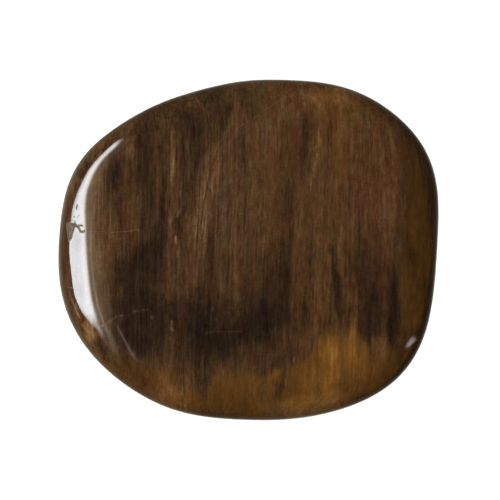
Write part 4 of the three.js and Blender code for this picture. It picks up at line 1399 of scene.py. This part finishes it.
SOFTBOX_LOW = [(122.4, 137.4), (117.4, 139.6), (114.4, 141.8), (112, 143.8), (109.8, 146), (107.4, 148), (100.4, 154.9), (93.7, 161.8), (87.7, 169.8), (83.6, 177.4), (80.5, 184), (76.9, 191.7), (73.9, 200.9), (71.8, 208.6), (70.3, 222.4), (69, 240.8), (68.8, 251), (69.5, 261.2), (70.8, 272.6), (72.3, 285.3), (74.4, 295.5), (78, 304.7), (82, 312.9), (87.2, 319.4), (90.4, 323.2)]
SOFTBOX_HIGH = [(123.6, 138.2), (121.6, 140), (119.7, 142), (117.8, 144), (115.8, 146), (113.9, 148), (111.9, 150), (103.4, 158.2), (97.3, 166.7), (92.8, 174.9), (89.7, 183), (87.1, 190.7), (85.6, 201.4), (85.1, 208.6), (85.6, 220.4), (86.1, 240.8), (86.9, 256.1), (88.2, 271.4), (89.7, 285.3), (91.7, 298.6), (94.8, 310.8), (98.4, 322.6)]
DISTANCE = 38.0
# A thin pale strip beside the softbox, as the rim mirrors it
STRIP = [(91.5, 205), (90.2, 228), (90.2, 250), (91.8, 270), (93.8, 288), (96.2, 300), (99, 311), (102, 320), (105.5, 328), (109, 336), (113, 346)]


def card(name, grid, light, distance=DISTANCE):
    """A glossy-only glowing sheet: rows of places in the frame, and the light of each."""
    rows, count = grid.shape[:2]
    Q, r = mirrored(grid.reshape(-1, 2))
    me = bpy.data.meshes.new(name)
    fs = [
        (i * count + j, i * count + j + 1, (i + 1) * count + j + 1, (i + 1) * count + j)
        for i in range(rows - 1)
        for j in range(count - 1)
    ]
    me.from_pydata([tuple(v) for v in (Q + r * distance) * MM], [], fs)
    a = me.attributes.new("glow", "FLOAT_VECTOR", "POINT")
    a.data.foreach_set("vector", light.reshape(-1, 3).astype(np.float32).ravel())
    m = bpy.data.materials.new(name)
    m.use_nodes = True
    t = m.node_tree
    t.nodes.clear()
    em = t.nodes.new("ShaderNodeEmission")
    em.inputs["Strength"].default_value = 1.0
    t.links.new(attribute(t, "glow", "Vector"), em.inputs["Color"])
    o = t.nodes.new("ShaderNodeOutputMaterial")
    t.links.new(em.outputs[0], o.inputs["Surface"])
    me.materials.append(m)
    ob = bpy.data.objects.new(name, me)
    bpy.context.scene.collection.objects.link(ob)
    ob.visible_camera = ob.visible_diffuse = ob.visible_shadow = ob.visible_transmission = False
    return ob


COUNT = 96
low = even(SOFTBOX_LOW + [(93.8, 326.4), (97.2, 330), (99.2, 334), (101, 340), (105, 352), (110, 364)], COUNT)
high = even(SOFTBOX_HIGH + [(101.2, 328.5), (102.6, 332), (104.2, 336), (105.4, 340), (109.4, 352), (114.4, 364)], COUNT)
tangent = np.gradient(high, axis=0)
tangent /= np.linalg.norm(tangent, axis=1, keepdims=True)
inward = np.stack([tangent[:, 1], -tangent[:, 0]], -1)
inward *= np.sign((inward * (high - low)).sum(1))[:, None]
grid, out_by = [], []
width = np.hypot(*(high - low).T)
for step in (1.0, 0.9, 0.8, 0.7, 0.6, 0.5, 0.4, 0.3):
    grid.append(high * (1 - step) + low * step)
    out_by.append(-step * width)
for step in (4.0, 3.2, 2.4, 1.6, 0.8):
    near_edge = np.minimum(step, 0.27 * width)
    grid.append(high - inward * near_edge[:, None])
    out_by.append(-near_edge)
for step in (0.0, 0.7, 1.4, 2.1, 2.8, 3.5, 4.2, 4.9, 5.6, 6.3, 7.2, 8.2, 9.4, 10.8, 12.4, 14.4, 17.0, 20.0):
    grid.append(high + inward * step)
    out_by.append(np.full(COUNT, step))
grid, out_by = np.array(grid), np.array(out_by)
flat = grid.reshape(-1, 2)
s = out_by.ravel()
core = np.interp(s, [-17.0, -10.0, -5.0, -3.4, -2.0, -0.9, 0.0, 0.9], [14.4, 16.2, 18.3, 18.2, 15.8, 8.6, 3.0, 0.0])
core_tint = np.stack([np.interp(s, [-6, -3, 0], a) for a in ([0.855, 0.92, 0.95], [0.925, 0.93, 0.97], [1.0, 0.92, 0.88])], -1)
haze = np.interp(s, [-1.0, 1.0, 3.0, 6.0, 9.0, 13.0, 17.0, 20.0], [0.0, 1.55, 1.5, 1.2, 0.8, 0.45, 0.15, 0.0])
haze_tint = np.stack([np.interp(s, [0, 3, 8], a) for a in ([1.0, 1.0, 1.0], [0.96, 0.88, 0.80], [0.86, 0.66, 0.52])], -1)
d_strip, u_strip = to_line(flat, np.array(STRIP))
strip = 1.7 * smooth(1.5, 0.1, d_strip) * smooth(0.0, 0.25, u_strip) * smooth(1.0, 0.8, u_strip)
# the box fades out at its lower end and a little at its upper tip
tail = np.interp(flat[:, 1], [312, 316, 320, 324, 328, 332, 336, 340], [1, 0.85, 0.60, 0.36, 0.31, 0.24, 0.09, 0])
tip = np.interp(flat[:, 1], [137, 138, 140, 142, 144, 146, 150, 160, 200, 215], [0.10, 0.20, 0.42, 0.74, 0.94, 1.02, 0.97, 0.93, 0.93, 1.0])
width_at = np.tile(width, len(grid))
soft_edge = 1 - smooth(235, 205, flat[:, 1]) * 0.5 * smooth(3.2, 0.0, s + width_at)
soft_low = np.interp(flat[:, 1], [300, 318], [0.0, 1.0]) * smooth(3.4, 0.2, s + width_at)
core = core * np.where(flat[:, 1] > 300, tail, 1.0) * np.where(flat[:, 1] < 215, tip, 1.0) * (1 - 0.55 * soft_low) * soft_edge
top_fade = smooth(138, 196, flat[:, 1]) * 0.8 + 0.2 * smooth(130, 150, flat[:, 1])
end_fade = 1 - smooth(314, 337, flat[:, 1])
haze = haze * (1 - 0.48 * smooth(205, 175, flat[:, 1]) * smooth(2.5, 8, s))
# dim upright smears, as of a curtain, inside the white
smear = 1 - 0.16 * smooth(7, 0, np.hypot((flat[:, 0] - 77) / 1.2, (flat[:, 1] - 241) / 2.2)) - 0.10 * smooth(8, 0, np.hypot(flat[:, 0] - 79, (flat[:, 1] - 291) / 1.5))
light = core_tint * (core * smear)[:, None] + haze_tint * (haze * top_fade * end_fade)[:, None]
light += np.array([1.0, 0.86, 0.68]) * strip[:, None]
for line, half, colour, fade in (
    ([(103.5, 321), (106, 328), (108.2, 332), (109.8, 336), (111.3, 340), (112.8, 344), (114, 348), (115.2, 352), (117, 357)], 2.5, (0.80, 0.82, 0.68), 0.25),
    ([(103, 326), (107.5, 336), (111.5, 346), (115, 355)], 6.0, (0.30, 0.31, 0.24), 0.4),
    ([(103.2, 262), (104.6, 280), (106.6, 292), (109, 304), (112, 317)], 1.1, (0.90, 0.78, 0.62), 0.25),
):
    d, u = to_line(flat, np.array(line, float))
    light += np.array(colour) * (smooth(1.6, 0.3, d / half) * smooth(0, fade, u) * smooth(0, fade, 1 - u))[:, None]
card("softbox", grid, light)


def line_card(name, line, half, colour, distance, fade=0.25, count=24):
    line = even(line, count)
    tan = np.gradient(line, axis=0)
    tan /= np.linalg.norm(tan, axis=1, keepdims=True)
    side = np.stack([-tan[:, 1], tan[:, 0]], -1)
    u = np.linspace(0, 1, count)
    half = np.interp(u, [0, 1], half) if np.ndim(half) else np.full(count, half)
    across = np.linspace(-1.6, 1.6, 9)
    grid = np.array([line + side * (half * a)[:, None] for a in across])
    power = smooth(1.6, 0.3, np.abs(across))[:, None] * (smooth(0, fade, u) * smooth(0, fade, 1 - u))[None, :]
    return card(name, grid, power[:, :, None] * np.array(colour), distance)


line_card("glint_right", [(404.6, 348.4), (407.6, 344.9), (410.4, 341.5), (413, 338.4), (415.4, 335.6)], (1.3, 2.7), (3.7, 3.35, 3.5), 37.0, 0.35)
line_card("glint_low", [(113, 319), (119, 330), (122, 336), (125.4, 342.4), (130, 351), (134.4, 357.4), (138.4, 364)], (0.7, 1.5), (1.15, 1.05, 1.02), 37.0)

bpy.context.scene.view_settings.view_transform = "Standard"
bpy.context.scene.view_settings.look = "None"
